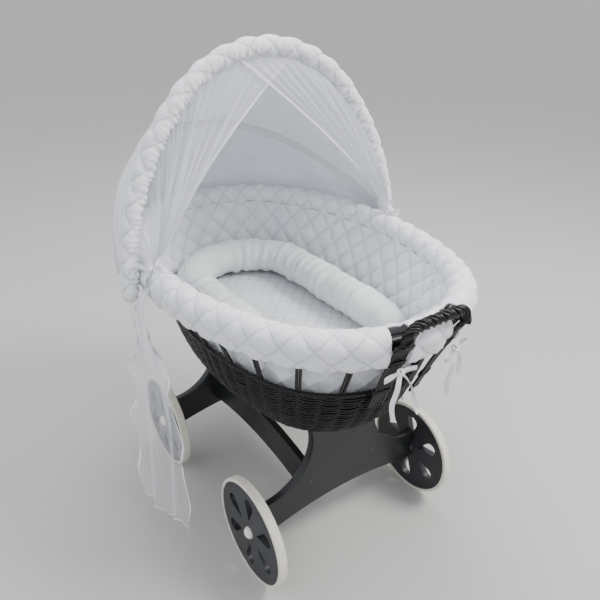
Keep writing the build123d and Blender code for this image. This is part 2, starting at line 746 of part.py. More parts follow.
for hand, side in SIDES.items():
    forward = SIDE_GAP if side < 0 else -CURTAIN_T - SIDE_GAP
    with BuildPart() as curtain:
        with BuildSketch(hood_plane(FRONT_LEAN, forward)):
            mouth = arch_line(-HOOD_ROLL_R - ROLL_GAP, -CURTAIN_FOOT_H)
            with BuildLine():
                add(mouth)
                Line(mouth @ 1, mouth @ 0)
            make_face()
            top = Vector(-side * CURTAIN_START, ARCH_H)
            foot = Vector(side * abs((mouth @ 0).X), (mouth @ 0).Y)
            sag = Vector(foot.Y - top.Y, top.X - foot.X).normalized() * CURTAIN_SAG * side
            with BuildLine():
                ThreePointArc(top, (top + foot) / 2 + sag, foot)
                Polyline(foot, (side * 2 * ARCH_W, foot.Y), (side * 2 * ARCH_W, top.Y), top)
            make_face(mode=Mode.INTERSECT)
        extrude(amount=CURTAIN_T)
    save(curtain, f"{hand}_curtain")

    with BuildPart() as veil_tail:
        with BuildSketch(Plane((side * TAIL_X, HOOD_Y, 0), x_dir=(0, 1, 0), z_dir=(1, 0, 0))):
            spread = (TAIL_FOOT_W - TAIL_TOP_W) / 2
            back = -TAIL_SET_FORWARD
            Polygon(
                (back, TAIL_TOP_Z), (back, TAIL_WAIST_Z), (back + spread, TAIL_FOOT_Z),
                (back - TAIL_TOP_W - spread, TAIL_FOOT_Z), (back - TAIL_TOP_W, TAIL_WAIST_Z),
                (back - TAIL_TOP_W, TAIL_TOP_Z), align=None,
            )
        extrude(amount=side * TAIL_T)
    save(veil_tail, f"{hand}_veil_tail")

# ---- Ribbon bows and ties ----


def ribbon_bow(label, plane, tail_length):
    """Knot with two loops and two hanging tails, flat in the given plane."""
    with BuildPart() as bow:
        with BuildSketch(plane):
            for lean in (-1, 1):
                with Locations(Location((lean * LOOP_L / 2, LOOP_W / 4), lean * LOOP_TILT)):
                    SlotOverall(LOOP_L, LOOP_W)
        extrude(amount=LOOP_T / 2, both=True)
        with BuildSketch(plane):
            for lean in (-1, 1):
                with Locations(Location((0, 0), lean * TAIL_TILT)):
                    Rectangle(RIBBON_W, tail_length, align=(Align.CENTER, Align.MAX))
        extrude(amount=RIBBON_T / 2, both=True)
        with BuildSketch(plane):
            RectangleRounded(KNOT_W, KNOT_W, KNOT_W / 4)
        extrude(amount=KNOT_R, both=True)
    save(bow, label)


for hand, side in SIDES.items():
    bow_out = Vector(side * cos(radians(BOW_TURN)), 0, sin(radians(BOW_TURN)))
    bow_spot = Vector(side * RIM_B, HOOD_Y - BOW_SET_FORWARD, RIM_Z) + bow_out * (ROLL_R + KNOT_R + LAY_GAP)
    bow_plane = Plane(bow_spot, x_dir=(0, side, 0), z_dir=bow_out)
    ribbon_bow(f"{hand}_veil_bow", bow_plane, BOW_TAIL_L)
    heading = post_plane(side).x_dir
    foot_spot = Vector(0, RIM_END_Y, FOOT_BOW_Z) + heading * FOOT_BOW_R
    foot_plane = Plane(foot_spot, x_dir=Vector(0, 0, 1).cross(heading), z_dir=heading)
    ribbon_bow(f"{hand}_foot_bow", foot_plane, FOOT_TAIL_L)

    with BuildPart() as hood_tie:
        with BuildSketch(hood_plane(FRONT_LEAN)):
            with Locations((side * ARCH_W, -FOOT_DROP - SIDE_GAP)):
                Rectangle(RIBBON_T, TIE_TAIL_L, align=(Align.CENTER, Align.MAX))
        extrude(amount=RIBBON_W / 2, both=True)
    save(hood_tie, f"{hand}_hood_tie")
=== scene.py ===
from math import asin, atan2, cos, pi, radians, sin, sqrt

import bpy
import numpy as np
from mathutils import Matrix, Vector


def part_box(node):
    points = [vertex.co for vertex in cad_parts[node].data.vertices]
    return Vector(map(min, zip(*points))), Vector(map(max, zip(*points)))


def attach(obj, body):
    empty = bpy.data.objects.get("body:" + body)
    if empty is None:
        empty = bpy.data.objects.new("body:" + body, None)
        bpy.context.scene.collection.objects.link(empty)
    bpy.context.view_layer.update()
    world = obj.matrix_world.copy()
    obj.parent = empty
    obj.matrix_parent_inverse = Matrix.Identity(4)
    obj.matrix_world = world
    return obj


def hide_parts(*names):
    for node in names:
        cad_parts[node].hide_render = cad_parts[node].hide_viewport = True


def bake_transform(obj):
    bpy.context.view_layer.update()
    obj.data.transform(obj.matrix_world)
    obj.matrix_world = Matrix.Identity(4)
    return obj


# Looks of a wicker bassinet on a wheeled wooden stand. Metres, in the CAD model's frame:
# X across, Y along the bed with the hood at +Y, Z up from the floor.

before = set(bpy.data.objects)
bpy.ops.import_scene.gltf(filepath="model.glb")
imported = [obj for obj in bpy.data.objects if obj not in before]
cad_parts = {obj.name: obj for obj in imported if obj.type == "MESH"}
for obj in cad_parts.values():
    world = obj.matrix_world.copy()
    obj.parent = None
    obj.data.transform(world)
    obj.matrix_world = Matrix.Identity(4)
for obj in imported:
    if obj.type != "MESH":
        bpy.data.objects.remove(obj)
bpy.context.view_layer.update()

# ---- Camera ----

LENS = 34.9
WHEELS_Y = (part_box("front_left_tyre")[0][1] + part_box("rear_left_tyre")[1][1]) / 2
CAMERA_AT = Vector((-0.7417, WHEELS_Y - 1.084, 1.2721))
CAMERA_YAW = radians(35.8)
CAMERA_PITCH = radians(-28.1)
CAMERA_ROLL = radians(1.1)

looking = Vector(
    (sin(CAMERA_YAW) * cos(CAMERA_PITCH), cos(CAMERA_YAW) * cos(CAMERA_PITCH), sin(CAMERA_PITCH))
)
level_right = looking.cross(Vector((0, 0, 1))).normalized()
level_up = level_right.cross(looking)
right = cos(CAMERA_ROLL) * level_right + sin(CAMERA_ROLL) * level_up
up = cos(CAMERA_ROLL) * level_up - sin(CAMERA_ROLL) * level_right
camera = bpy.data.objects.new("camera", bpy.data.cameras.new("camera"))
camera.data.lens = LENS
camera.data.sensor_width = 36
turned = Matrix((right, up, -looking)).transposed().to_4x4()
camera.matrix_world = Matrix.Translation(CAMERA_AT) @ turned
bpy.context.scene.collection.objects.link(camera)
bpy.context.scene.camera = camera

# ---- Sizes read from the CAD model ----


def middle(node):
    """Middle of a CAD node's box."""
    low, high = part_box(node)
    return (Vector(low) + Vector(high)) / 2


def half(node):
    """Half of a CAD node's box."""
    low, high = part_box(node)
    return (Vector(high) - Vector(low)) / 2


BORDER_R = half("rim_border").z
RIM_A = half("rim_border").y - BORDER_R
RIM_B = half("rim_border").x - BORDER_R
RIM_Z = middle("rim_border").z
BASKET_Y = middle("rim_border").y
BAND_A = half("basket_weave").y
BAND_B = half("basket_weave").x
BAND_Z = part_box("basket_weave")[1][2]
FLOOR_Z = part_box("basket_weave")[0][2]
ROLL_R = half("rim_cover").y - RIM_A
FLAP_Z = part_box("rim_cover")[0][2]
PIVOT = Vector((0, middle("left_pivot_bolt").y, middle("left_pivot_bolt").z))
HANDLE_Y = middle("foot_handle").y
HANDLE_R = half("foot_handle").y
HANDLE_X = half("foot_handle").x - HANDLE_R
HANDLE_TOP_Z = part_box("foot_handle")[1][2] - HANDLE_R
POST_TOP_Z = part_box("foot_handle")[0][2]
POST_FOOT_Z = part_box("left_handle_post")[0][2]
PAD_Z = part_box("nest_pad")[0][2]
PAD_TOP_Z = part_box("nest_pad")[1][2]
PAD_A = half("nest_pad").y
PAD_B = half("nest_pad").x
BOLSTER_Z = middle("nest_bolster").z
BOLSTER_R = half("nest_bolster").z
BOLSTER_X = half("nest_bolster").x - BOLSTER_R
BOLSTER_HEAD_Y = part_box("nest_bolster")[1][1] - BOLSTER_R - BOLSTER_X
BOLSTER_FOOT_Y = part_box("nest_bolster")[0][1] + BOLSTER_R

# ---- Sizes of the looks ----

END_FULLNESS = 0.89
FLOOR_A = 0.325
FLOOR_B = 0.190
WALL = 0.012
FLAP_IN = 0.012
LINER_TOP_Z = 0.690
LINER_FOOT_Z = 0.440
LINER_GAP = 0.0035
STAKE_PAIRS = 24
STRAND_R = 0.0023
ROW_PITCH = 0.0044
WEAVE_SWING = 0.0030
CANE_R = 0.0031
POST_R = 0.3090
POST_LEAN = 0.018
POST_FOOT_R = 0.2367
HANDLE_BEND = 0.025

ARCH_H = 0.459
ARCH_W = 0.381
FOOT_DROP = 0.050
CROWN_R = 0.300
FRONT_LEAN = radians(4)
REAR_LEAN = radians(61)
SKIRT_LEAN = radians(105)
HOOD_ROLL_R = 0.022
CANOPY_OFF = 0.010
CANOPY_FOOT = 0.031
CANOPY_SAG = 0.035

QUILT_U = 0.060
QUILT_V = 0.064
LINER_QUILT = 0.074
PAD_QUILT = 0.042

CURTAIN_START = 0.067
CURTAIN_BOW = Vector((0.335, PIVOT.y - 0.047, 0.742))
TAIL_FOOT_Z = 0.052
RIBBON_W = 0.010

RIM_END_R = RIM_B * END_FULLNESS
RIM_END_Y = BASKET_Y - (RIM_A - RIM_END_R)
SIDES = {"left": -1, "right": 1}
dice = np.random.RandomState(11)

# ---- Materials ----


class Paint:
    """A material's nodes, made one call at a time."""

    def __init__(self, name, colour, roughness, **sockets):
        self.material = bpy.data.materials.new(name)
        self.material.use_nodes = True
        self.nodes = self.material.node_tree.nodes
        self.links = self.material.node_tree.links
        self.shader = self.nodes["Principled BSDF"]
        self.shader.inputs["Base Color"].default_value = (*colour, 1)
        self.shader.inputs["Roughness"].default_value = roughness
        for socket, value in sockets.items():
            self.shader.inputs[socket.replace("_", " ")].default_value = value
        self.colour = None
        self.bump = None

    def add(self, kind, **inputs):
        """A node whose inputs are values or other nodes' sockets."""
        made = self.nodes.new(kind)
        for key, value in inputs.items():
            if hasattr(made, key) and not key[0].isupper():
                setattr(made, key, value)
        for key, value in inputs.items():
            if hasattr(made, key) and not key[0].isupper():
                continue
            socket = made.inputs[int(key[1:])] if key[0] == "_" else made.inputs[key.replace("_", " ")]
            if isinstance(value, bpy.types.NodeSocket):
                self.links.new(value, socket)
            else:
                socket.default_value = value
        return made

    def place(self, scale=(1, 1, 1)):
        """Coordinates fixed to the object, in metres, stretched by scale."""
        coordinates = self.add("ShaderNodeTexCoord").outputs["Object"]
        return self.add("ShaderNodeMapping", Vector=coordinates, Scale=scale).outputs[0]

    def cloth_place(self, scale=(1, 1, 1)):
        """Coordinates along the cloth, in metres, stretched by scale."""
        coordinates = self.add("ShaderNodeUVMap", uv_map="cloth").outputs[0]
        return self.add("ShaderNodeMapping", Vector=coordinates, Scale=scale).outputs[0]

    def noise(self, size, detail=3.0, place=None):
        """Noise from 0 to 1 with features about size metres across."""
        place = place or self.place()
        made = self.add("ShaderNodeTexNoise", Vector=place, Scale=1 / size, Detail=detail)
        return made.outputs["Factor" if "Factor" in made.outputs else "Fac"]

    def span(self, value, low, high, to_low=0.0, to_high=1.0):
        """value from low..high to to_low..to_high, held at the ends."""
        sockets = {"Value": value, "From_Min": low, "From_Max": high, "To_Min": to_low, "To_Max": to_high}
        return self.add("ShaderNodeMapRange", **sockets).outputs[0]

    def sum(self, first, second, operation="ADD"):
        return self.add("ShaderNodeMath", operation=operation, _0=first, _1=second).outputs[0]

    def tint(self, factor, colour):
        """Mixes a colour over what is there, by factor."""
        if self.colour is None:
            start = tuple(self.shader.inputs["Base Color"].default_value)
        else:
            start = self.colour
        mixed = self.add("ShaderNodeMix", data_type="RGBA", _0=factor, _6=start, _7=(*colour, 1))
        self.colour = mixed.outputs[2]
        self.links.new(self.colour, self.shader.inputs["Base Color"])

    def raise_by(self, height, depth):
        """Bump from height, depth metres high."""
        sockets = {"Height": height, "Distance": depth, "Strength": 1.0}
        if self.bump is not None:
            sockets["Normal"] = self.bump
        self.bump = self.add("ShaderNodeBump", **sockets).outputs[0]
        self.links.new(self.bump, self.shader.inputs["Normal"])

    def rough(self, value):
        self.links.new(value, self.shader.inputs["Roughness"])


def lacquered(name, colour, roughness, wear_and_edge_highlight):
    """Satin paint on wood: faint grain, dust, brushed patches, and lighter edges that are painted highlight
    with some edge wear.
    """
    paint = Paint(name, colour, roughness, Coat_Weight=0.12, Coat_Roughness=0.25)
    grain = paint.noise(0.012, 6, paint.place((1, 0.15, 1)))
    cloud = paint.noise(0.11, 4)
    dust = paint.noise(0.0016, 2)
    paint.tint(paint.span(cloud, 0.42, 0.70, 0, 0.55), wear_and_edge_highlight)
    paint.tint(paint.span(dust, 0.66, 0.76, 0, 0.30), tuple(4 * c for c in wear_and_edge_highlight))
    # Lighter convex edges from pointiness: painted highlight along the edges, with some edge wear.
    edge = paint.add("ShaderNodeNewGeometry").outputs["Pointiness"]
    paint.tint(paint.span(edge, 0.53, 0.62, 0, 0.45), tuple(3 * c for c in wear_and_edge_highlight))
    paint.rough(paint.span(cloud, 0.3, 0.7, roughness - 0.06, roughness + 0.09))
    paint.raise_by(grain, 0.00025)
    paint.raise_by(dust, 0.00004)
    return paint.material


def moulded(name, colour, roughness, grime, pores=0.0009):
    """Moulded rubber or plastic: fine pores, scuffs and a little grime."""
    paint = Paint(name, colour, roughness)
    scuff = paint.noise(0.02, 6)
    fine = paint.noise(pores, 2)
    paint.tint(paint.span(scuff, 0.46, 0.72, 0, 0.5), grime)
    paint.tint(paint.span(fine, 0.60, 0.75, 0, 0.25), grime)
    paint.rough(paint.span(scuff, 0.3, 0.7, roughness - 0.07, roughness + 0.10))
    paint.raise_by(fine, 0.00008)
    return paint.material


def metal(name, colour, roughness):
    """Plated steel with fine scratches and slight tarnish."""
    paint = Paint(name, colour, roughness, Metallic=1.0)
    scratch = paint.noise(0.0012, 4, paint.place((1, 9, 1)))
    tarnish = paint.noise(0.006, 4)
    paint.tint(paint.span(tarnish, 0.5, 0.75, 0, 0.5), tuple(0.55 * c for c in colour))
    paint.rough(paint.span(scratch, 0.3, 0.7, roughness - 0.1, roughness + 0.15))
    paint.raise_by(scratch, 0.00005)
    return paint.material


def cane(name):
    """Black lacquered willow: lengthwise grain, gloss with duller patches, dusty hollows."""
    paint = Paint(
        name, (0.0035, 0.0035, 0.004), 0.36, Specular_IOR_Level=0.3, Coat_Weight=0.10, Coat_Roughness=0.2
    )
    grain = paint.noise(0.0022, 5, paint.place((1, 1, 2.5)))
    cloud = paint.noise(0.035, 3)
    paint.tint(paint.span(grain, 0.5, 0.75, 0, 0.5), (0.016, 0.0155, 0.015))
    paint.tint(paint.span(cloud, 0.55, 0.75, 0, 0.4), (0.012, 0.012, 0.0125))
    paint.rough(paint.span(cloud, 0.3, 0.7, 0.24, 0.44))
    paint.raise_by(grain, 0.0003)
    return paint.material


def bare_wood(name):
    """Pale plywood with grain along the bed."""
    paint = Paint(name, (0.55, 0.40, 0.24), 0.6)
    grain = paint.noise(0.008, 6, paint.place((3, 0.25, 3)))
    paint.tint(paint.span(grain, 0.45, 0.62, 0, 0.7), (0.36, 0.23, 0.12))
    paint.raise_by(grain, 0.0003)
    return paint.material


def woven(paint, thread=0.0011, depth=0.00010, place=None):
    """Plain weave: two crossed sets of threads, and a little slub."""
    for direction in ("X", "Y"):
        place = place or paint.cloth_place()
        wave = paint.add("ShaderNodeTexWave", wave_type="BANDS", bands_direction=direction, Vector=place)
        wave.inputs["Scale"].default_value = 0.31 / thread
        wave.inputs["Distortion"].default_value = 0.8
        paint.raise_by(wave.outputs["Fac"], depth)
    slub = paint.noise(0.0035, 4)
    paint.raise_by(slub, depth * 1.5)


def cotton(name, colour, shade, sheen=0.25, through=0.0, creases=0.0010):
    """Cotton cloth: weave, soft creases, faint shade in the hollows, some light through it."""
    paint = Paint(name, colour, 0.86, Sheen_Weight=sheen, Sheen_Roughness=0.4)
    cloud = paint.noise(0.06, 4)
    paint.tint(paint.span(cloud, 0.40, 0.75, 0, 0.6), shade)
    crease = paint.noise(0.030, 5)
    paint.raise_by(crease, creases)
    woven(paint)
    if through:
        glow = paint.add("ShaderNodeBsdfTranslucent", Color=(*colour, 1))
        mixed = paint.add("ShaderNodeMixShader", _0=through, _1=paint.shader.outputs[0], _2=glow.outputs[0])
        paint.links.new(mixed.outputs[0], paint.nodes["Material Output"].inputs["Surface"])
    return paint.material


def quilted(name, colour, shade, along, across, fine=0.0011):
    """Quilted cotton: stitched diamonds with dashed thread, puckers beside the seams, weave."""
    paint = Paint(name, colour, 0.82, Sheen_Weight=0.3, Sheen_Roughness=0.4)
    place = paint.cloth_place()
    seams = []
    for sign in (1, -1):
        turned_place = paint.add(
            "ShaderNodeVectorMath", operation="DOT_PRODUCT", _0=place, _1=(1 / along, sign / across, 0)
        ).outputs["Value"]
        seams.append(paint.sum(turned_place, 0.5, "PINGPONG"))
    seam = paint.sum(seams[0], seams[1], "MINIMUM")
    width = 0.0013 / along
    line = paint.span(seam, 0.35 * width, 1.6 * width, 1, 0)
    hollow = paint.span(seam, 0, 7 * width, 1, 0)
    stitch = paint.add(
        "ShaderNodeVectorMath", operation="DOT_PRODUCT", _0=place, _1=(290, 0, 0)
    ).outputs["Value"]
    dash = paint.span(paint.sum(stitch, 0.5, "PINGPONG"), 0.10, 0.22, 0, 1)
    thread = paint.sum(line, dash, "MULTIPLY")
    pucker = paint.noise(0.012, 4)
    paint.tint(paint.span(paint.noise(0.08, 3), 0.4, 0.75, 0, 0.5), shade)
    paint.tint(paint.sum(hollow, 0.30, "MULTIPLY"), shade)
    paint.tint(paint.sum(line, 0.55, "MULTIPLY"), tuple(0.72 * c for c in shade))
    paint.raise_by(paint.sum(pucker, paint.sum(hollow, 0.5, "ADD"), "MULTIPLY"), 0.0022)
    paint.raise_by(line, -0.0014)
    paint.raise_by(thread, 0.0006)
    woven(paint, fine)
    return paint.material


def netting(name, colour, cover, gathered):
    """Tulle: a fine net that covers part of what is behind it, more where it is gathered."""
    paint = Paint(name, colour, 0.75, Sheen_Weight=0.2)
    along = paint.add("ShaderNodeSeparateXYZ", Vector=paint.cloth_place()).outputs["Y"]
    net = paint.add(
        "ShaderNodeTexVoronoi", feature="DISTANCE_TO_EDGE", Vector=paint.cloth_place(), Scale=620.0
    ).outputs["Distance"]
    holes = paint.span(net, 0.05, 0.25, cover + 0.25, cover - 0.10)
    streak = paint.noise(0.02, 3, paint.cloth_place((1, 0.06, 1)))
    alpha = paint.sum(holes, paint.span(streak, 0.3, 0.7, -0.05, 0.12), "ADD")
    alpha = paint.sum(alpha, paint.span(along, *gathered), "ADD")
    paint.links.new(alpha, paint.shader.inputs["Alpha"])
    paint.tint(paint.span(streak, 0.45, 0.7, 0, 0.4), tuple(0.9 * c for c in colour))
    return paint.material


def satin(name, colour):
    """Satin ribbon: tight weave with a long sheen and slightly raised edges."""
    paint = Paint(name, colour, 0.34, Sheen_Weight=0.4, Anisotropic=0.5, Specular_IOR_Level=0.6)
    streak = paint.noise(0.004, 3, paint.cloth_place((8, 0.4, 1)))
    paint.tint(paint.span(streak, 0.4, 0.7, 0, 0.5), tuple(0.86 * c for c in colour))
    paint.rough(paint.span(streak, 0.3, 0.7, 0.28, 0.45))
    paint.raise_by(streak, 0.0002)
    return paint.material


WHITE = (0.83, 0.84, 0.865)
SHADE = (0.70, 0.72, 0.77)
stand_black = lacquered("satin_black_paint", (0.0052, 0.0062, 0.0075), 0.42, (0.009, 0.011, 0.013))
wheel_black = lacquered("wheel_black_paint", (0.0065, 0.0078, 0.0095), 0.45, (0.012, 0.013, 0.015))
tyre_rubber = moulded("cream_rubber", (0.72, 0.69, 0.60), 0.55, (0.52, 0.49, 0.42))
cap_plastic = moulded("cream_plastic", (0.80, 0.79, 0.74), 0.25, (0.66, 0.64, 0.58), 0.0005)
dark_steel = metal("blackened_steel", (0.10, 0.10, 0.105), 0.38)
steel = metal("zinc_plated_steel", (0.60, 0.60, 0.60), 0.32)
wicker = cane("black_willow")
plywood = bare_wood("plywood")
cover_quilt = quilted("rim_quilting", WHITE, SHADE, QUILT_U, QUILT_V)
liner_quilt = quilted("liner_quilting", WHITE, (0.66, 0.69, 0.76), LINER_QUILT, LINER_QUILT)
pad_quilt = quilted("pad_quilting", (0.82, 0.84, 0.87), SHADE, PAD_QUILT, PAD_QUILT, 0.0008)
bolster_cotton = cotton("nest_cotton", (0.79, 0.82, 0.815), (0.68, 0.71, 0.72), creases=0.0014)
mattress_cotton = cotton("mattress_cotton", (0.78, 0.78, 0.77), (0.68, 0.68, 0.68))
canopy_cotton = cotton("canopy_cotton", (0.86, 0.87, 0.90), (0.76, 0.77, 0.82), through=0.28)
skirt_cotton = cotton("skirt_voile", (0.82, 0.83, 0.87), (0.72, 0.73, 0.79), through=0.42, creases=0.0016)
tape_cotton = cotton("hoop_tape", (0.70, 0.70, 0.74), (0.62, 0.62, 0.67))
piping_cotton = cotton("piping", (0.74, 0.76, 0.78), (0.62, 0.64, 0.67))
curtain_tulle = netting("curtain_tulle", (0.90, 0.91, 0.95), 0.13, (0.10, 0.75, 0.0, 0.40))
tail_tulle = netting("tail_tulle", (0.90, 0.91, 0.95), 0.05, (0.02, 0.55, 0.42, 0.0))
ribbon_satin = satin("white_satin", (0.86, 0.87, 0.90))


def dress(material, *nodes):
    """Gives CAD nodes a material."""
    for name in nodes:
        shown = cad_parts[name]
        shown.data.materials.clear()
        shown.data.materials.append(material)


CORNERS = ("front_left", "front_right", "rear_left", "rear_right")
dress(stand_black, "front_panel", "rear_panel", "left_rail", "right_rail", "floor_battens")
dress(dark_steel, "panel_bolts", "wing_nuts", "left_pivot_bolt", "right_pivot_bolt")
dress(steel, "barrel_nuts", "axle_washers", *[f"{c}_axle_bolt" for c in CORNERS])
dress(wheel_black, *[f"{c}_wheel_disc" for c in CORNERS])
dress(tyre_rubber, *[f"{c}_tyre" for c in CORNERS])
dress(cap_plastic, "pivot_spacers", *[f"{c}_hub_cap" for c in CORNERS])
dress(wicker, "basket_stakes", "rim_border")
dress(plywood, "basket_floor", "hood_front_hoop")
dress(tape_cotton, "hood_rear_hoop")

# ---- Mesh makers ----


def finish_mesh(name, mesh, material, body, slot, *replaced):
    """An object from a mesh: smooth, with its material, body and the nodes it stands for; slot is not used.
    """
    mesh.update()
    mesh.polygons.foreach_set("use_smooth", [True] * len(mesh.polygons))
    mesh.materials.append(material)
    made = bpy.data.objects.new(name, mesh)
    bpy.context.scene.collection.objects.link(made)
    if body:
        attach(made, body)
    if replaced:
        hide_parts(*replaced)
    return made


def grid_faces(rows, columns, wrap_rows, wrap_columns):
    """Corner numbers of a grid's quads, and of its cloth coordinates."""
    i, j = np.meshgrid(
        np.arange(rows if wrap_rows else rows - 1),
        np.arange(columns if wrap_columns else columns - 1),
        indexing="ij",
    )
    i, j = i.ravel(), j.ravel()
    corners = [(i, j), (i + 1, j), (i + 1, j + 1), (i, j + 1)]
    faces = np.stack([(a % rows) * columns + b % columns for a, b in corners], 1)
    return faces, corners


def grid(
    name, points, material, body, slot, *replaced, u=None, v=None, wrap=(False, False), drop=None, caps=False
):
    """A smooth quad mesh over points[row, column]; u runs over the rows and v over the columns."""
    rows, columns = points.shape[:2]
    faces, corners = grid_faces(rows, columns, *wrap)
    keep = np.ones(len(faces), bool) if drop is None else ~drop(points.reshape(-1, 3)[faces].mean(1), corners)
    faces = faces[keep]
    polygons = faces.tolist()
    if caps:
        polygons.append(list(range(columns))[::-1])
        polygons.append([(rows - 1) * columns + k for k in range(columns)])
    mesh = bpy.data.meshes.new(name)
    mesh.from_pydata(points.reshape(-1, 3).tolist(), [], polygons)
    if u is None:
        steps = np.linalg.norm(np.diff(points, axis=0), axis=2).mean(1)
        u = np.concatenate([[0], np.cumsum(np.append(steps, steps[-1:]))])
    if v is None:
        steps = np.linalg.norm(np.diff(points, axis=1), axis=2).mean(0)
        v = np.concatenate([[0], np.cumsum(np.append(steps, steps[-1:]))])
    cloth = np.stack([np.stack([u[a], v[b]], 1) for a, b in corners], 1)[keep].reshape(-1, 2)
    layer = mesh.uv_layers.new(name="cloth")
    flat = np.zeros((len(mesh.loops), 2))
    flat[: len(cloth)] = cloth
    layer.data.foreach_set("uv", flat.ravel())
    return finish_mesh(name, mesh, material, body, slot, *replaced)


def grid_normals(points, wrap=(False, False)):
    """Unit normals of points[row, column]."""

    def slope(axis, wrapped):
        if wrapped:
            return np.roll(points, -1, axis) - np.roll(points, 1, axis)
        return np.gradient(points, axis=axis)

    normal = np.cross(slope(0, wrap[0]), slope(1, wrap[1]))
    return normal / np.maximum(np.linalg.norm(normal, axis=2, keepdims=True), 1e-12)


def joined(name, meshes, material, body, slot, *replaced):
    """One piece from many point grids, given as (points, wrap rows, wrap columns)."""
    vertices, polygons, cloth, base = [], [], [], 0
    for points, wrap_rows, wrap_columns in meshes:
        rows, columns = points.shape[:2]
        faces, corners = grid_faces(rows, columns, wrap_rows, wrap_columns)
        polygons.append(faces + base)
        vertices.append(points.reshape(-1, 3))
        base += rows * columns
        long = np.linalg.norm(np.diff(points, axis=0), axis=2).mean()
        wide = np.linalg.norm(np.diff(points, axis=1), axis=2).mean()
        cloth.append(np.stack([np.stack([a * long, b * wide], 1) for a, b in corners], 1).reshape(-1, 2))
    mesh = bpy.data.meshes.new(name)
    mesh.from_pydata(np.concatenate(vertices).tolist(), [], np.concatenate(polygons).tolist())
    mesh.uv_layers.new(name="cloth").data.foreach_set("uv", np.concatenate(cloth).ravel())
    return finish_mesh(name, mesh, material, body, slot, *replaced)


def frames_along(line, first=(0, 0, 1), closed=False):
    """Two unit vectors across a line at each of its points, turning as little as they can."""
    line = np.asarray(line, float)
    if closed:
        tangents = np.roll(line, -1, 0) - np.roll(line, 1, 0)
    else:
        tangents = np.gradient(line, axis=0)
    tangents /= np.linalg.norm(tangents, axis=1, keepdims=True)
    side = np.cross(tangents[0], first)
    if np.linalg.norm(side) < 1e-6:
        side = np.cross(tangents[0], (0, 1, 0))
    across = []
    for tangent in tangents:
        side = side - tangent * (side @ tangent)
        side = side / np.linalg.norm(side)
        across.append(side)
    across = np.array(across)
    return across, np.cross(tangents, across)


def rod(line, radius, sides=7, closed=False, first=(0, 0, 1)):
    """A round rod along a line, as a point grid."""
    line = np.asarray(line, float)
    one, two = frames_along(line, first, closed)
    turn = np.linspace(0, 2 * pi, sides, endpoint=False)
    radius = np.broadcast_to(radius, len(line))[:, None, None]
    ring = one[:, None] * np.cos(turn)[None, :, None] + two[:, None] * np.sin(turn)[None, :, None]
    return line[:, None] + radius * ring, closed, True


def ease(value):
    """0 to 1 with a level start and end."""
    value = np.clip(value, 0, 1)
    return value * value * (3 - 2 * value)


def pillows(u, v, along, across, height):
    """Height of stitched diamonds: full in the middle of each, nothing on the seams."""
    first = np.abs(np.sin(pi * (u / along + v / across)))
    second = np.abs(np.sin(pi * (u / along - v / across)))
    return height * (first * second) ** 0.45


def ripples(u, v, waves, seed):
    """Sum of waves along u, v with chance directions; lengths in metres."""
    chance = np.random.RandomState(seed)
    total = np.zeros(np.broadcast(u, v).shape)
    for length, height in waves:
        for _ in range(3):
            turn = chance.uniform(0, 2 * pi)
            phase = chance.uniform(0, 2 * pi)
            stretch = length * chance.uniform(0.75, 1.35)
            total = total + height * np.sin(2 * pi * (u * cos(turn) + v * sin(turn)) / stretch + phase) / 3
    return total


def inflate(piece, pressure, cap, stiffness=15):
    """Blows a closed soft piece up as cloth, moving no point more than cap."""
    start = np.empty(3 * len(piece.data.vertices))
    piece.data.vertices.foreach_get("co", start)
    start = start.reshape(-1, 3)
    cloth = piece.modifiers.new("cloth", "CLOTH")
    cloth.settings.quality = 5
    cloth.settings.tension_stiffness = stiffness
    cloth.settings.compression_stiffness = stiffness
    cloth.settings.use_pressure = True
    cloth.settings.uniform_pressure_force = pressure
    cloth.settings.effector_weights.gravity = 0
    for step in range(1, 21):
        bpy.context.scene.frame_set(step)
    shaped = piece.evaluated_get(bpy.context.evaluated_depsgraph_get()).data
    moved = np.empty(3 * len(shaped.vertices))
    shaped.vertices.foreach_get("co", moved)
    moved = moved.reshape(-1, 3) - start
    piece.modifiers.remove(cloth)
    bpy.context.scene.frame_set(1)
    reach = np.linalg.norm(moved, axis=1, keepdims=True)
    moved = moved * np.minimum(1, cap / np.maximum(reach, 1e-9))
    piece.data.vertices.foreach_set("co", (start + moved).ravel())
    piece.data.update()


def reshape(piece, shape, height, wrap):
    """Moves a grid piece's points out along their normals."""
    points = np.empty(3 * len(piece.data.vertices))
    piece.data.vertices.foreach_get("co", points)
    points = points.reshape(*shape, 3)
    points = points + grid_normals(points, wrap) * height[..., None]
    piece.data.vertices.foreach_set("co", points.ravel())
    piece.data.update()


def thicken(piece, thickness, offset=-1):
    solid = piece.modifiers.new("thickness", "SOLIDIFY")
    solid.thickness = thickness
    solid.offset = offset
    return piece


# ---- Shapes shared by several pieces ----


def oval(half_length, half_width, stations):
    """Points and outward directions of the four-arc oval at stations from 0 to 1."""
    end_r = half_width * END_FULLNESS
    side_r = (half_length**2 + half_width**2 - 2 * half_length * end_r) / (2 * (half_width - end_r))
    turn = atan2(half_length - end_r, side_r - half_width)
    arcs = (
        (half_width - side_r, 0, side_r, -turn, 2 * turn),
        (0, half_length - end_r, end_r, turn, pi - 2 * turn),
        (side_r - half_width, 0, side_r, pi - turn, 2 * turn),
        (0, end_r - half_length, end_r, pi + turn, pi - 2 * turn),
    )
    lengths = np.array([r * sweep for _, _, r, _, sweep in arcs])
    ends = np.cumsum(lengths)
    along = np.mod(stations, 1) * ends[-1]
    points = np.zeros((len(along), 2))
    normals = np.zeros((len(along), 2))
    for (x, y, r, start, sweep), length, stop in zip(arcs, lengths, ends):
        on = (along >= stop - length) & (along <= stop)
        angle = start + (along[on] - stop + length) / r
        normals[on] = np.stack([np.cos(angle), np.sin(angle)], 1)
        points[on] = (x, y) + r * normals[on]
    return points, normals, ends[-1]


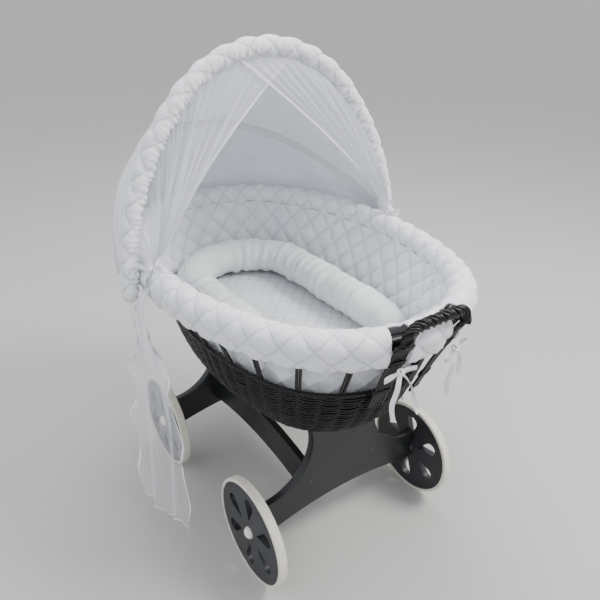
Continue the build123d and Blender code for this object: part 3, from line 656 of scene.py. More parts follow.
def oval_station(half_length, half_width, angle):
    """Station on the foot end's arc at an angle from straight down the bed."""
    end_r = half_width * END_FULLNESS
    side_r = (half_length**2 + half_width**2 - 2 * half_length * end_r) / (2 * (half_width - end_r))
    turn = atan2(half_length - end_r, side_r - half_width)
    side, end = side_r * 2 * turn, end_r * (pi - 2 * turn)
    return (2 * side + end + end_r * (pi / 2 - turn + angle)) / (2 * side + 2 * end)


def around(points, normals, grow, z):
    """Ring points moved out by grow, at height z, in the basket's place."""
    grow = np.broadcast_to(grow, (len(points),))[:, None]
    flat = points + normals * grow
    return np.column_stack([flat[:, 0], flat[:, 1] + BASKET_Y, np.broadcast_to(z, (len(points),))])


def bowl_share(z):
    return np.sqrt(np.clip((z - FLOOR_Z) / (BAND_Z - FLOOR_Z), 0, None))


def hood_point(x, y, lean, forward=0.0):
    """A point from its place in the hood's leaning plane."""
    x, y, lean, forward = np.broadcast_arrays(x, y, lean, forward)
    return np.stack(
        [
            x,
            PIVOT.y + y * np.sin(lean) - forward * np.cos(lean),
            PIVOT.z + y * np.cos(lean) + forward * np.sin(lean),
        ],
        -1,
    )


def arch(stations, foot=-FOOT_DROP):
    """Points and outward directions of the hoop line, foot to foot, from the right."""
    height = ARCH_H + FOOT_DROP
    side_r = (ARCH_W**2 + (height - CROWN_R) ** 2 - CROWN_R**2) / (2 * (ARCH_W - CROWN_R))
    turn = atan2(height - CROWN_R, side_r - ARCH_W)
    start = asin((FOOT_DROP + foot) / side_r)
    arcs = (
        (ARCH_W - side_r, -FOOT_DROP, side_r, start, turn - start),
        (0, ARCH_H - CROWN_R, CROWN_R, turn, pi - 2 * turn),
        (side_r - ARCH_W, -FOOT_DROP, side_r, pi - turn, turn - start),
    )
    lengths = np.array([r * sweep for _, _, r, _, sweep in arcs])
    ends = np.cumsum(lengths)
    along = np.clip(stations, 0, 1) * ends[-1]
    points = np.zeros((len(along), 2))
    normals = np.zeros((len(along), 2))
    for (x, y, r, first, sweep), length, stop in zip(arcs, lengths, ends):
        on = (along >= stop - length - 1e-9) & (along <= stop + 1e-9)
        angle = first + (along[on] - stop + length) / r
        normals[on] = np.stack([np.cos(angle), np.sin(angle)], 1)
        points[on] = (x, y) + r * normals[on]
    return points, normals, ends[-1]


# ---- Stage and light ----

floor_mesh = bpy.data.meshes.new("floor")
floor_mesh.from_pydata([(-400, -400, 0), (400, -400, 0), (400, 400, 0), (-400, 400, 0)], [], [(0, 1, 2, 3)])
floor = bpy.data.objects.new("floor", floor_mesh)
bpy.context.scene.collection.objects.link(floor)
floor_paint = Paint("pale_floor", (0.47, 0.465, 0.45), 0.85)
floor_paint.tint(floor_paint.span(floor_paint.noise(0.9, 2), 0.4, 0.7, 0, 0.5), (0.455, 0.45, 0.435))
floor_mesh.materials.append(floor_paint.material)

world = bpy.data.worlds.new("studio")
bpy.context.scene.world = world
world.use_nodes = True
world.node_tree.nodes["Background"].inputs["Color"].default_value = (0.93, 0.95, 1.0, 1)
world.node_tree.nodes["Background"].inputs["Strength"].default_value = 1.12


def softbox(name, place, aim, size, power, colour=(1, 1, 1)):
    lamp = bpy.data.lights.new(name, "AREA")
    lamp.shape = "SQUARE"
    lamp.size = size
    lamp.energy = power
    lamp.color = colour
    light = bpy.data.objects.new(name, lamp)
    turned_to = (Vector(place) - Vector(aim)).to_track_quat("Z", "Y")
    light.matrix_world = Matrix.Translation(place) @ turned_to.to_matrix().to_4x4()
    bpy.context.scene.collection.objects.link(light)


softbox("key", (1.6, -1.5, 3.1), (0, 0, 0.6), 1.2, 125, (1, 0.98, 0.95))
softbox("fill", (-2.6, -0.4, 2.2), (0, 0, 0.6), 2.2, 16, (0.93, 0.96, 1))
softbox("top", (0.2, 0.9, 3.2), (0, 0, 0.5), 1.6, 52)

# ---- Woven bowl: rows of cane that pass in front of and behind the stakes ----

waves = 2 * STAKE_PAIRS
stations = np.linspace(0, 1, waves * 6, endpoint=False)
fine_z = np.linspace(FLOOR_Z + 0.004, BAND_Z - 0.008, 400)
width_at = FLOOR_B + (BAND_B - FLOOR_B) * bowl_share(fine_z)
profile = np.concatenate([[0], np.cumsum(np.hypot(np.diff(fine_z), np.diff(width_at)))])
row_count = int(profile[-1] / ROW_PITCH)
strands = []
for row in range(row_count):
    z = np.interp((row + 0.5) * profile[-1] / row_count, profile, fine_z)
    share = bowl_share(z)
    points, normals, length = oval(
        FLOOR_A + (BAND_A - FLOOR_A) * share - WALL / 2,
        FLOOR_B + (BAND_B - FLOOR_B) * share - WALL / 2,
        stations,
    )
    swing = np.sin(pi * (waves * stations + row)) * WEAVE_SWING
    wander = 0.0005 * np.sin(2 * pi * stations * dice.randint(3, 9) + dice.uniform(0, 6))
    bounce = 0.0008 * np.cos(2 * pi * (waves * stations))
    line = around(points, normals, swing + wander, z + bounce + 0.0004 * dice.randn())
    strands.append(rod(line, STRAND_R * dice.uniform(0.93, 1.06), 6, True))
for base_z, offset in ((BAND_Z - 0.0052, 0.0033), (FLOOR_Z + 0.0045, 0.003)):
    share = bowl_share(base_z)
    points, normals, length = oval(
        FLOOR_A + (BAND_A - FLOOR_A) * share - WALL / 2,
        FLOOR_B + (BAND_B - FLOOR_B) * share - WALL / 2,
        stations,
    )
    for twist in range(4):
        angle = 2 * pi * (stations * 46 + twist / 4)
        line = around(points, normals, offset * np.cos(angle), base_z + offset * np.sin(angle))
        strands.append(rod(line, 0.0024, 6, True))
stake_z = np.linspace(FLOOR_Z + 0.002, BAND_Z - 0.001, 14)
for stake in range(waves):
    station = np.array([(stake + 0.5) / waves])
    for nudge in (-0.0034, 0.0034):
        line = []
        for z in stake_z:
            share = bowl_share(z)
            points, normals, length = oval(
                FLOOR_A + (BAND_A - FLOOR_A) * share - WALL / 2,
                FLOOR_B + (BAND_B - FLOOR_B) * share - WALL / 2,
                station + nudge / 2.1,
            )
            line.append(around(points, normals, 0, z)[0])
        strands.append(rod(line, 0.0021, 6))
joined("woven_bowl", strands, wicker, "basket", "wicker", "basket_weave")

# ---- Foot handle: twisted canes on flat bound posts ----

corner_turn = np.linspace(0, pi / 2, 12)
bend_x, bend_z = HANDLE_X - HANDLE_BEND, HANDLE_TOP_Z - HANDLE_BEND
right_corner = [(bend_x + HANDLE_BEND * cos(a), bend_z + HANDLE_BEND * sin(a)) for a in corner_turn]
left_corner = [(-x, z) for x, z in right_corner[::-1]]
handle_foot_z = POST_TOP_Z - 0.004
handle_path = np.array(
    [(HANDLE_X, handle_foot_z), *right_corner, *left_corner, (-HANDLE_X, handle_foot_z)]
)
steps = np.concatenate([[0], np.cumsum(np.linalg.norm(np.diff(handle_path, axis=0), axis=1))])
even = np.linspace(0, steps[-1], 110)
handle_line = np.column_stack(
    [
        np.interp(even, steps, handle_path[:, 0]),
        np.full(110, HANDLE_Y),
        np.interp(even, steps, handle_path[:, 1]),
    ]
)
one, two = frames_along(handle_line, (0, 1, 0))
strands = []
for bundle in range(4):
    for member in range(3):
        turn = 2 * pi * (even / 0.062 + bundle / 4)
        curl = 2 * pi * (even / 0.090 + member / 3)
        reach = (HANDLE_R - 0.0062) + 0.0030 * np.cos(curl)
        slide = 0.0031 * np.sin(curl)
        line = (
            handle_line
            + one * (reach * np.cos(turn) - slide * np.sin(turn))[:, None]
            + two * (reach * np.sin(turn) + slide * np.cos(turn))[:, None]
        )
        strands.append(rod(line, 0.0029, 7))
joined("foot_rope", strands, wicker, "basket", "wicker", "foot_handle")

post_turn = atan2(HANDLE_X, RIM_END_Y - HANDLE_Y)
for hand, side in SIDES.items():
    heading = np.array([side * sin(post_turn), -cos(post_turn), 0])
    beside = np.array([cos(post_turn), side * sin(post_turn), 0])
    knee_z = RIM_Z - BORDER_R
    down = np.linspace(0, 1, 46)
    z = POST_TOP_Z + 0.002 + (POST_FOOT_Z - POST_TOP_Z - 0.002) * down
    out = np.interp(z, [POST_FOOT_Z, knee_z, POST_TOP_Z], [POST_FOOT_R, POST_R, POST_R + POST_LEAN])
    out = np.convolve(np.pad(out, 2, "edge"), np.ones(5) / 5, "valid") + 0.004
    strands = []
    for number in range(6):
        shift = (number - 2.5) * 0.0060
        narrow = 1 - 0.35 * (1 - ease(down / 0.12))
        line = (
            np.array([0, RIM_END_Y, 0]) + heading * (out + 0.0008 * np.sin(9 * down + number))[:, None]
            + beside * (shift * narrow)[:, None] + np.column_stack([0 * z, 0 * z, z])
        )
        strands.append(rod(line, CANE_R, 7, first=tuple(beside)))
    for wrap_z, count in ((POST_TOP_Z - 0.010, 3), (RIM_Z - 0.038, 3), (POST_FOOT_Z + 0.055, 2)):
        for number in range(count):
            middle_z = wrap_z - number * 0.0048
            centre = np.array([0, RIM_END_Y, middle_z]) + heading * np.interp(-middle_z, -z, out)
            turn = np.linspace(0, 2 * pi, 26, endpoint=False)
            loop = (
                centre
                + beside * (0.0196 * np.cos(turn))[:, None]
                + heading * (0.0049 * np.sin(turn))[:, None]
            )
            strands.append(rod(loop, 0.0022, 6, True))
    joined(f"{hand}_bound_post", strands, wicker, "basket", "wicker", f"{hand}_handle_post")

# ---- Quilted rim cover: a padded roll with an outer flap, notched round the posts ----

notch = asin(0.022 / (RIM_END_R + 0.018))
stations = np.linspace(0, 1, 560, endpoint=False)
notch_stations = sorted(
    oval_station(RIM_A, RIM_B, side * post_turn + lean * notch) for side in (-1, 1) for lean in (-1, 1)
)
for cut in notch_stations:
    stations[np.argmin(np.abs(stations - cut))] = cut
stations = np.sort(stations)
points, normals, rim_length = oval(RIM_A, RIM_B, stations)
roll_turn = np.radians(np.linspace(222, -22, 34))
section = np.column_stack([ROLL_R * np.cos(roll_turn), ROLL_R * np.sin(roll_turn)])
flap = np.linspace(0, 1, 12)[1:, None]
flap_foot = np.array([ROLL_R - FLAP_IN, FLAP_Z - RIM_Z])
section = np.concatenate([section, section[-1] + (flap_foot - section[-1]) * flap])
v = np.concatenate([[0], np.cumsum(np.linalg.norm(np.diff(section, axis=0), axis=1))])
u = stations * rim_length
hem = ease((v - v[-1] + 0.018) / 0.018)
roll_in = np.exp(-(((np.linspace(222, -150, len(v)) - 185) / 45) ** 2))
cover = np.zeros((len(stations), len(v), 3))
for column, (grow, rise) in enumerate(section):
    drape = hem[column] * (0.0030 * np.sin(2 * pi * u / QUILT_U) + 0.0015 * np.sin(2 * pi * u / 0.231))
    cover[:, column] = around(points, normals, grow - 0.0035 + 0.4 * drape, RIM_Z + rise + drape)
quilting = pillows(u[:, None], v[None], QUILT_U, QUILT_V, 0.0056)
creasing = ripples(u[:, None], v[None], ((0.045, 0.0012), (0.020, 0.0009)), 3)
gathers = 0.0018 * np.sin(2 * pi * u / 0.0125)[:, None] * roll_in[None]
cover += -grid_normals(cover, (True, False)) * (quilting - 0.0020 + creasing + gathers)[..., None]


def in_notch(centres, corners):
    """Faces of the cover that the two posts pass through."""
    row, column = corners[0]
    station = stations[row] + 0.5 / len(stations)
    cut = ((station > notch_stations[0]) & (station < notch_stations[1])) | (
        (station > notch_stations[2]) & (station < notch_stations[3])
    )
    return cut & (section[column, 0] > -0.008) & (column > 8)


rim_quilt = grid(
    "rim_quilt", cover, cover_quilt, "basket", "quilt", "rim_cover",
    u=np.append(u, rim_length), v=np.append(v, v[-1]), wrap=(True, False), drop=in_notch,
)
thicken(rim_quilt, 0.004, -1)

# ---- Liner down the inside of the basket ----

stations = np.linspace(0, 1, 420, endpoint=False)
heights = np.concatenate([np.linspace(LINER_TOP_Z, BAND_Z, 30), np.linspace(BAND_Z, LINER_FOOT_Z, 20)[1:]])
liner = np.zeros((len(stations), len(heights), 3))
for column, z in enumerate(heights):
    if z > BAND_Z:
        share = (z - BAND_Z) / (RIM_Z - BAND_Z)
        sizes = (BAND_A + (RIM_A - BAND_A) * share, BAND_B + (RIM_B - BAND_B) * share)
    else:
        share = bowl_share(z)
        sizes = (FLOOR_A + (BAND_A - FLOOR_A) * share, FLOOR_B + (BAND_B - FLOOR_B) * share)
    points, normals, length = oval(*sizes, stations)
    liner[:, column] = around(points, normals, -WALL - LINER_GAP - 0.0030, z)
u = stations * rim_length
v = np.concatenate([[0], np.cumsum(np.linalg.norm(np.diff(liner[0], axis=0), axis=1))])
puffs = pillows(u[:, None], v[None], LINER_QUILT, LINER_QUILT, 0.0105)
puffs += ripples(u[:, None], v[None], ((0.09, 0.0016), (0.035, 0.0006)), 5)
inward = grid_normals(liner, (True, False))
liner += inward * (puffs - 0.001)[..., None] * np.sign((inward[0, 0] @ (-1, 0, 0)))
quilted_liner = grid(
    "quilted_liner", liner, liner_quilt, "basket", "quilt", "liner",
    u=np.append(u, rim_length), v=np.append(v, v[-1]), wrap=(True, False),
)
thicken(quilted_liner, 0.003, 1)

# ---- Mattress and the nest's quilted base ----


def slab(name, half_length, half_width, low, high, edge, material, body, slot, node, crown):
    """Crowned flat pad with rounded edges, as a grid from the middle of the top to the middle below."""
    stations = np.linspace(0, 1, 240, endpoint=False)
    points, normals, length = oval(half_length, half_width, stations)
    steps = [(share, high, 0) for share in np.linspace(0.0005, 1, 40)]
    turns = np.linspace(90, -90, 9)
    rows = []
    for share, z, _ in steps[:-1]:
        flat = (points - normals * edge) * share
        rise = crown * (1 - share**2)
        rows.append(
            np.column_stack([flat[:, 0], flat[:, 1] + BASKET_Y, np.full(len(flat), z + rise - crown)])
        )
    for turn in turns:
        bulge = edge * cos(radians(turn))
        side_z = (low + high - crown) / 2 + (high - crown - low) / 2 * sin(radians(turn))
        rows.append(around(points, normals, bulge - edge, side_z))
    for share in np.linspace(0.98, 0.0005, 24):
        flat = (points - normals * edge) * share
        rows.append(np.column_stack([flat[:, 0], flat[:, 1] + BASKET_Y, np.full(len(flat), low)]))
    shape = np.array(rows)
    made = grid(name, shape, material, body, slot, node, wrap=(False, True), caps=True)
    layer = made.data.uv_layers["cloth"]
    places = np.empty(3 * len(made.data.vertices))
    made.data.vertices.foreach_get("co", places)
    corners = np.empty(len(made.data.loops), int)
    made.data.loops.foreach_get("vertex_index", corners)
    layer.data.foreach_set("uv", places.reshape(-1, 3)[corners, :2].ravel())
    return made, shape.shape[:2]


def diamond_top(piece, shape, size, height):
    """Stitched diamonds over the top of a slab."""
    points = np.empty(3 * len(piece.data.vertices))
    piece.data.vertices.foreach_get("co", points)
    points = points.reshape(*shape, 3)
    top = ease((points[..., 2] - points[..., 2].max() + 0.02) / 0.008)
    puff = pillows(points[..., 0], points[..., 1], size, size, height) - 0.5 * height
    puff += ripples(points[..., 0], points[..., 1], ((0.16, 0.0012), (0.07, 0.0006)), 8)
    points[..., 2] += puff * top
    piece.data.vertices.foreach_set("co", points.ravel())
    piece.data.update()


mattress_low, mattress_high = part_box("mattress")
mattress, _ = slab(
    "soft_mattress", half("mattress").y - 0.003, half("mattress").x - 0.003, mattress_low[2] + 0.001,
    mattress_high[2] - 0.002, 0.010, mattress_cotton, "basket", "bedding", "mattress", 0.004,
)
inflate(mattress, 1.5, 0.002)
nest_base, base_shape = slab(
    "nest_base", PAD_A - 0.004, PAD_B - 0.004, PAD_Z + 0.001, PAD_TOP_Z - 0.002, 0.007, pad_quilt, "basket",
    "bedding", "nest_pad", 0.003,
)
diamond_top(nest_base, base_shape, PAD_QUILT, 0.0022)

# ---- Nest bolster: a horseshoe roll, drawn up on its seam ----

leg = BOLSTER_HEAD_Y - BOLSTER_FOOT_Y
bend = pi * BOLSTER_X
total = 2 * leg + bend
TAPER = 0.10
along = np.linspace(-BOLSTER_R * 0.92, total + BOLSTER_R * 0.92, 330)
centre = np.zeros((len(along), 3))
outward = np.zeros((len(along), 3))
for number, step in enumerate(along):
    if step < leg:
        centre[number] = (BOLSTER_X, BOLSTER_FOOT_Y + step, BOLSTER_Z)
        outward[number] = (1, 0, 0)
    elif step > leg + bend:
        centre[number] = (-BOLSTER_X, BOLSTER_HEAD_Y - (step - leg - bend), BOLSTER_Z)
        outward[number] = (-1, 0, 0)
    else:
        turn = (step - leg) / BOLSTER_X
        outward[number] = (cos(turn), sin(turn), 0)
        centre[number] = (BOLSTER_X * cos(turn), BOLSTER_HEAD_Y + BOLSTER_X * sin(turn), BOLSTER_Z)
from_end = np.minimum(along + BOLSTER_R, total + BOLSTER_R - along)
closing = np.sqrt(np.clip(1 - (1 - np.clip(from_end / BOLSTER_R, 0, 1)) ** 2, 0.02, 1))
taper = 0.86 + 0.14 * ease(from_end / (BOLSTER_R + TAPER))
turn = np.linspace(0, 2 * pi, 56, endpoint=False)
size = ((BOLSTER_R - 0.004) * closing * taper)[:, None]
shape = (
    centre[:, None]
    + outward[:, None] * (size * np.cos(turn))[..., None]
    + np.array([0, 0, 1]) * (size * np.sin(turn) - 0.0 + (size - BOLSTER_R + 0.004))[..., None]
)
bolster = grid(
    "bolster", shape, bolster_cotton, "basket", "bedding", "nest_bolster",
    u=np.append(along, along[-1]), v=np.append(turn, 2 * pi) * BOLSTER_R, wrap=(False, True), caps=True,
)
inflate(bolster, 3, 0.004)
in_head = ease((along - leg + 0.05) / 0.06) * ease((leg + bend + 0.05 - along) / 0.06)
inner_side = (0.5 - 0.5 * np.cos(turn))[None]
seam_at = radians(52)
beside_seam = np.exp(-(((turn - seam_at + pi) % (2 * pi) - pi) / 0.12) ** 2)[None]
puckers = np.sin(2 * pi * along / 0.0092 + 1.6 * np.sin(along * 41))[:, None]
slow = np.sin(2 * pi * along / 0.031 + 2 * np.sin(along * 17))[:, None]
fan = -np.abs(np.sin(pi * along / 0.058))[:, None] ** 0.35 * -1
height = (
    0.0020 * puckers * (0.35 + 0.65 * inner_side) * (1 - 0.6 * in_head[:, None])
    + 0.0021 * slow * (0.4 + 0.6 * inner_side)
    + 0.0075 * (fan - 0.8) * in_head[:, None] * (0.25 + 0.75 * inner_side)
    - 0.0035 * beside_seam * (1 + 0.35 * puckers)
) * closing[:, None]
height = height + ripples(along[:, None], (turn * BOLSTER_R)[None], ((0.12, 0.0024), (0.045, 0.0016)), 12)
turned_in = grid_normals(shape, (False, True))[165, 0] @ outward[165] < 0
reshape(bolster, shape.shape[:2], -height if turned_in else height, (False, True))

places = np.empty(3 * len(bolster.data.vertices))
bolster.data.vertices.foreach_get("co", places)
places = places.reshape(*shape.shape)
seam_column = int(round(seam_at / (2 * pi) * len(turn)))
piping_line = places[8:-8, seam_column] + 0.0012 * (
    outward[8:-8] * cos(seam_at) + np.array([0, 0, 1]) * sin(seam_at)
)
joined("bolster_piping", [rod(piping_line, 0.0019, 7)], piping_cotton, "basket", "bedding")

# ---- Hood roll: a quilted tube round the front hoop, gathered on the inside of its curve ----

stations = np.linspace(0, 1, 400)
points, normals, arch_length = arch(stations)
turn = np.linspace(0, 2 * pi, 44, endpoint=False)
round_out = normals[:, 0, None] * np.cos(turn), normals[:, 1, None] * np.cos(turn)
from_end = np.clip(np.minimum(stations, 1 - stations) * arch_length / 0.016, 0, 1)
ends_in = np.sqrt(np.clip(1 - (1 - from_end) ** 2, 0.06, 1))
size = ((HOOD_ROLL_R - 0.0028) * ends_in)[:, None]
roll = hood_point(
    points[:, 0, None] + size * round_out[0],
    points[:, 1, None] + size * round_out[1],
    FRONT_LEAN,
    size * np.sin(turn),
)
u = stations * arch_length
v = turn * HOOD_ROLL_R
padded_roll = grid(
    "padded_roll", roll, cover_quilt, "hood", "quilt", "hood_roll",
    u=np.append(u, u[-1]), v=np.append(v, 2 * pi * HOOD_ROLL_R), wrap=(False, True), caps=True,
)
inflate(padded_roll, 3, 0.0025)
inner_side = (0.5 - 0.5 * np.cos(turn))[None] ** 1.5
ROLL_QUILT_V = 2 * pi * HOOD_ROLL_R / 2
wobble = 0.35 * np.sin(u * 61)[:, None] + 0.3 * np.sin(u * 133 + 1)[:, None]
height = pillows(u[:, None], v[None], QUILT_U, ROLL_QUILT_V, 0.0056) - 0.0026
height = height + 0.0030 * np.sin(2 * pi * u[:, None] / 0.0135 + wobble * 4) * inner_side
height = height + ripples(u[:, None], v[None], ((0.06, 0.0008), (0.024, 0.0005)), 21)
hood_up = hood_point(0, 1, FRONT_LEAN) - np.array(PIVOT)
sign = 1 if grid_normals(roll, (False, True))[200, 0] @ hood_up > 0 else -1
reshape(padded_roll, roll.shape[:2], sign * height * ends_in[:, None], (False, True))

# ---- Canopy and its rear skirt ----


def shell(lean_from, lean_to, rows, bellow, seed, droop):
    """Cloth between two leaning planes, hanging in a little between its hoops."""
    stations = np.linspace(0, 1, 260)
    points, normals, length = arch(stations, CANOPY_FOOT)
    share = np.linspace(0, 1, rows)
    lean = lean_from + (lean_to - lean_from) * share
    crown = np.sin(pi * stations) ** 0.6
    sag = bellow * np.sin(pi * share)[:, None] * crown[None]
    x = points[None, :, 0] + normals[None, :, 0] * (CANOPY_OFF - sag)
    y = points[None, :, 1] + normals[None, :, 1] * (CANOPY_OFF - sag)
    loose = ripples(stations[None] * length, share[:, None] * (lean_to - lean_from) * ARCH_H, droop, seed)
    foot = np.exp(-np.minimum(stations, 1 - stations) * length / 0.10)
    fan = np.sin(2 * pi * share * 5.5)[:, None] * foot[None] * 0.0035
    rise = (loose + fan) * np.sin(pi * np.clip(share, 0, 1))[:, None] ** 0.5
    cloth = hood_point(x + normals[None, :, 0] * rise, y + normals[None, :, 1] * rise, lean[:, None])
    return cloth, stations * length, share


canopy_points, u, share = shell(FRONT_LEAN, REAR_LEAN, 90, CANOPY_SAG, 31, ((0.30, 0.0035), (0.12, 0.0012)))
canopy = grid(
    "canopy", canopy_points, canopy_cotton, "hood", "canopy_cotton", "hood_canopy",
)
thicken(canopy, 0.0008, 0)

skirt_points, u, share = shell(REAR_LEAN, SKIRT_LEAN, 80, 0.010, 47, ((0.16, 0.0050), (0.07, 0.0022)))
skirt = grid("rear_skirt", skirt_points, skirt_cotton, "hood", "canopy_cotton", "hood_skirt")
thicken(skirt, 0.0006, 0)

# ---- Tulle: two curtains crossed at the top, tied at the rim, with a tail down each side ----

MOUTH = HOOD_ROLL_R + 0.0005


def hung(start, stop, share, sag):
    """Points from start to stop, pulled along sag in the middle."""
    share = share[None, :, None]
    return start[:, None] * (1 - share) + stop[:, None] * share + sag[:, None] * (4 * share * (1 - share))


TAIL_X = 0.3565
TAIL_OUT = 0.420
TAIL_TOP_Z = CURTAIN_BOW.z - 0.006
TAIL_LOOP = 0.020
HEM_W = 0.0085

for hand, side in SIDES.items():
    stations = np.linspace(0, 1, 700)
    points, normals, length = arch(stations, CANOPY_FOOT + 0.05)
    inside = points - normals * MOUTH
    keep = side * inside[:, 0] > -CURTAIN_START
    held = inside[keep]
    if side > 0:
        held = held[::-1]
    pick = np.linspace(0, len(held) - 1, 170).astype(int)
    held = held[pick]
    across_share = np.linspace(0, 1, len(held))
    folds = np.sin(2 * pi * across_share * 9 + 2.6 * np.sin(across_share * 7 + side))
    folds = folds * (0.55 + 0.45 * np.sin(across_share * 23 + 2 * side)) + 0.4 * np.sin(
        2 * pi * across_share * 21 + 3 * np.sin(across_share * 11)
    )
    top = hood_point(held[:, 0], held[:, 1], FRONT_LEAN, 0.004 * side + 0.003 * folds)
    knot = np.array([side * CURTAIN_BOW.x, CURTAIN_BOW.y, CURTAIN_BOW.z])
    gather = knot + np.column_stack(
        [0.004 * np.sin(across_share * 31), 0.018 * (across_share - 0.5), 0.005 * np.cos(across_share * 27)]
    )
    span = np.linalg.norm(gather - top, axis=1)
    sag = np.column_stack([side * 0.045 * np.exp(-across_share / 0.35), 0 * span, -0.030 * span])
    drop = np.linspace(0, 1, 90)
    veil = hung(top, gather, drop, sag)
    swell = np.sin(pi * drop) ** 0.8
    ruffle = 0.011 * folds[:, None] * swell[None] * (0.6 + 0.4 * drop[None])
    ruffle = ruffle + 0.0025 * np.sin(2 * pi * across_share * 43 + 5 * np.sin(across_share * 13))[:, None] * (
        drop[None] * (1 - drop[None] ** 6)
    )
    veil[..., 1] += -ruffle - 0.03 * swell[None] * np.sin(pi * np.clip(across_share, 0, 1))[:, None]
    veil[..., 0] += 0.4 * ruffle
    curtain = grid(
        f"{hand}_tulle_curtain", veil, curtain_tulle, None, "tulle", f"{hand}_curtain",
    )
    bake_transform(curtain)
    edge = veil[0]
    edge_band = joined(
        f"{hand}_curtain_hem",
        [(np.stack([edge + (0, -0.0008, 0), edge + (side * 0.004, -0.0008, 0.003)], 1), False, False)],
        ribbon_satin, None, "ribbon",
    )
    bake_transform(edge_band)

    # The tail: gathered under the knot, spreading down to a hem that falls in soft loops
    drop = np.linspace(0, 1, 240)[:, None]
    share = np.linspace(-1, 1, 110)[None]
    z = TAIL_TOP_Z + (TAIL_FOOT_Z - TAIL_TOP_Z) * drop
    half_width = 0.010 + 0.074 * ease(drop / 0.72) + 0.012 * drop
    middle_y = CURTAIN_BOW.y - 0.004 - 0.014 * ease(drop / 0.5)
    near_edge = np.clip((np.abs(share) - 0.55) / 0.45, 0, 1) ** 1.5
    phase = 2 * pi * (drop * 4.2 + 0.3 * np.sin(3.1 * drop)) + np.where(share > 0, 1.9, 0)
    loop = TAIL_LOOP * ease(drop / 0.16) * near_edge * (0.8 + 0.2 * np.sin(7 * drop + side))
    pleat = np.sin(share * 7.5 + 1.1 * np.sin(4 * drop)) + 0.5 * np.sin(share * 17 + 2.3 * drop)
    depth = (0.002 + 0.007 * ease(drop / 0.5)) * pleat * (1 - near_edge)
    spread = 0.042 * ease(drop / 0.11) + 0.026 * share * ease(drop / 0.5)
    out = CURTAIN_BOW.x + 0.003 + spread + depth + 0.5 * loop * np.cos(phase)
    over_roll = np.sqrt(1 - np.clip((z - RIM_Z) / (TAIL_X - RIM_B), 0, 1) ** 2)
    nearest = RIM_B + (TAIL_X - RIM_B) * over_roll
    y = middle_y + share * half_width + loop * np.sin(phase) * 0.9
    z = z + loop * np.cos(phase + 0.5) * 0.2 - 0.012 * ease((drop - 0.9) / 0.1) * np.cos(share * 6)
    tail = np.stack([side * np.clip(out, nearest, TAIL_OUT), y, np.maximum(z, 0.014)], -1)
    tail_piece = grid(
        f"{hand}_tulle_tail", tail.transpose(1, 0, 2), tail_tulle, "basket", "tulle", f"{hand}_veil_tail"
    )
    bands = []
    for edge, inner in ((tail[:, 0], tail[:, 2]), (tail[:, -1], tail[:, -3])):
        inward = (inner - edge) / np.maximum(np.linalg.norm(inner - edge, axis=1, keepdims=True), 0.001)
        bands.append((np.stack([edge, edge + inward * HEM_W], 1), False, False))
    bands.append((np.stack([tail[-1], tail[-1] + (tail[-4] - tail[-1]) * 0.45], 1), False, False))
    for band, _, _ in bands:
        band[..., 0] += side * 0.0007
    hem_piece = joined(f"{hand}_tail_hem", bands, ribbon_satin, "basket", "ribbon")

# ---- Ribbons ----


def strip(line, wide):
    """A ribbon along a line, with its width along wide, as a point grid."""
    line, wide = np.asarray(line, float), np.asarray(wide, float)
    middle_line = [line - wide / 2, line - wide / 6, line + wide / 6, line + wide / 2]
    return np.stack(middle_line, 1), False, False


def smooth_line(points, count):
    """An even line through a few points, rounded between them."""
    points = np.asarray(points, float)
    fine = np.linspace(0, len(points) - 1, count)
    slopes = np.gradient(points, axis=0)
    index = np.minimum(fine.astype(int), len(points) - 2)
    part = (fine - index)[:, None]
    a, b = points[index], points[index + 1]
    ma, mb = slopes[index], slopes[index + 1]
    return (
        (2 * part**3 - 3 * part**2 + 1) * a + (part**3 - 2 * part**2 + part) * ma
        + (-2 * part**3 + 3 * part**2) * b + (part**3 - part**2) * mb
    )


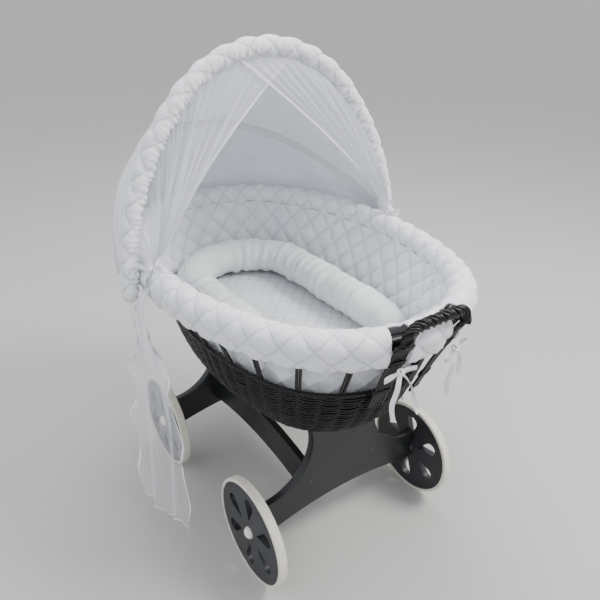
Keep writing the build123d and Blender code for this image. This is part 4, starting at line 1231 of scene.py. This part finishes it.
def bow(name, at, outward, node, loops, tails, seed):
    """Ribbon bow: loops and tails in directions given as (along, out, up), and a wrapped knot."""
    chance = np.random.RandomState(seed)
    outward = np.array(outward, float) / np.linalg.norm(outward)
    along = np.cross((0, 0, 1), outward)
    along /= np.linalg.norm(along)
    axes = np.array([along, outward, (0, 0, 1)])
    at = np.array(at, float)
    strips = []
    for reach, lift, lean in loops:
        share = np.linspace(0, 1, 34)
        swing = np.sin(pi * share)
        belly = np.sin(2 * pi * share)
        line = at + np.column_stack(
            [reach * swing, 0.003 + 0.008 * belly + lean * swing, lift * swing + 0.006 * belly]
        ) @ axes
        spread = (0.35 + 0.65 * np.minimum(1, swing * 1.8))[:, None]
        wide = np.column_stack([0 * share - lift * 2, 0.35 * np.cos(pi * share), 1 + 0 * share])
        wide = wide / np.linalg.norm(wide, axis=1, keepdims=True) * RIBBON_W * spread
        strips.append(strip(line, wide @ axes))
    for points in tails:
        line = at + smooth_line([(0, 0.002, 0), *points], 46) @ axes
        share = np.linspace(0, 1, 46)
        twist = chance.uniform(-0.4, 0.4) + chance.uniform(0.6, 1.3) * np.sin(share * chance.uniform(2, 4))
        wide = np.column_stack([np.cos(twist), np.sin(twist), 0 * share]) * RIBBON_W
        wide = wide * (0.45 + 0.55 * np.minimum(1, share * 9))[:, None]
        strips.append(strip(line, wide @ axes))
    made = joined(name, strips, ribbon_satin, "basket", "ribbon", node)
    turn = np.linspace(0, 2 * pi, 22, endpoint=False)
    knot_line = at + np.column_stack(
        [0.0048 * np.cos(turn), 0.0040 + 0.0052 * np.sin(turn), 0.0012 * np.sin(2 * turn)]
    ) @ axes
    up_line = at + np.column_stack(
        [0.0012 * np.sin(turn), 0.0040 + 0.0056 * np.cos(turn), 0.0052 * np.sin(turn)]
    ) @ axes
    knot = joined(
        f"{name}_knot", [rod(knot_line, 0.0030, 8, True), rod(up_line, 0.0028, 8, True)],
        ribbon_satin, "basket", "ribbon",
    )
    return made


for hand, side in SIDES.items():
    bow(
        f"{hand}_bow", (side * (CURTAIN_BOW.x + 0.007), CURTAIN_BOW.y - 0.006, CURTAIN_BOW.z),
        (side, -0.45, 0.2), f"{hand}_veil_bow",
        [(0.036, 0.010, 0.004), (-0.034, 0.002, 0.006)],
        [[(0.010, 0.010, -0.020), (0.016, 0.006, -0.050), (0.010, 0.012, -0.078)],
         [(-0.008, 0.012, -0.018), (-0.014, 0.010, -0.048), (-0.020, 0.006, -0.070)]],
        5 + side,
    )
    heading = (side * sin(post_turn), -cos(post_turn), 0)
    foot_at = np.array([0, RIM_END_Y, FLAP_Z - 0.007]) + np.array(heading) * (RIM_END_R + 0.024)
    bow(
        f"{hand}_foot_tie", foot_at, heading, f"{hand}_foot_bow",
        [(0.030, 0.006, 0.004), (-0.034, -0.012, 0.003)],
        [[(0.022, 0.006, -0.030), (0.040, 0.0, -0.072), (0.052, 0.002, -0.112)],
         [(-0.006, 0.008, -0.036), (-0.010, 0.002, -0.078), (-0.004, 0.004, -0.116)]],
        9 + side,
    )
    low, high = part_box(f"{hand}_hood_tie")
    tie_top = np.array([(low[0] + high[0]) / 2, (low[1] + high[1]) / 2, high[2]])
    ties = []
    for lean in (-1, 1):
        line = smooth_line(
            [tie_top, tie_top + (side * 0.004, lean * 0.006, -0.022),
             tie_top + (side * 0.002, lean * 0.011, -0.044),
             tie_top + (side * 0.005, lean * 0.013, -0.058)], 30,
        )
        ties.append(strip(line, np.array([[0.004 * cos(k / 9), 0.009, 0] for k in range(30)])))
    tie = joined(f"{hand}_roll_tie", ties, ribbon_satin, "hood", "ribbon", f"{hand}_hood_tie")
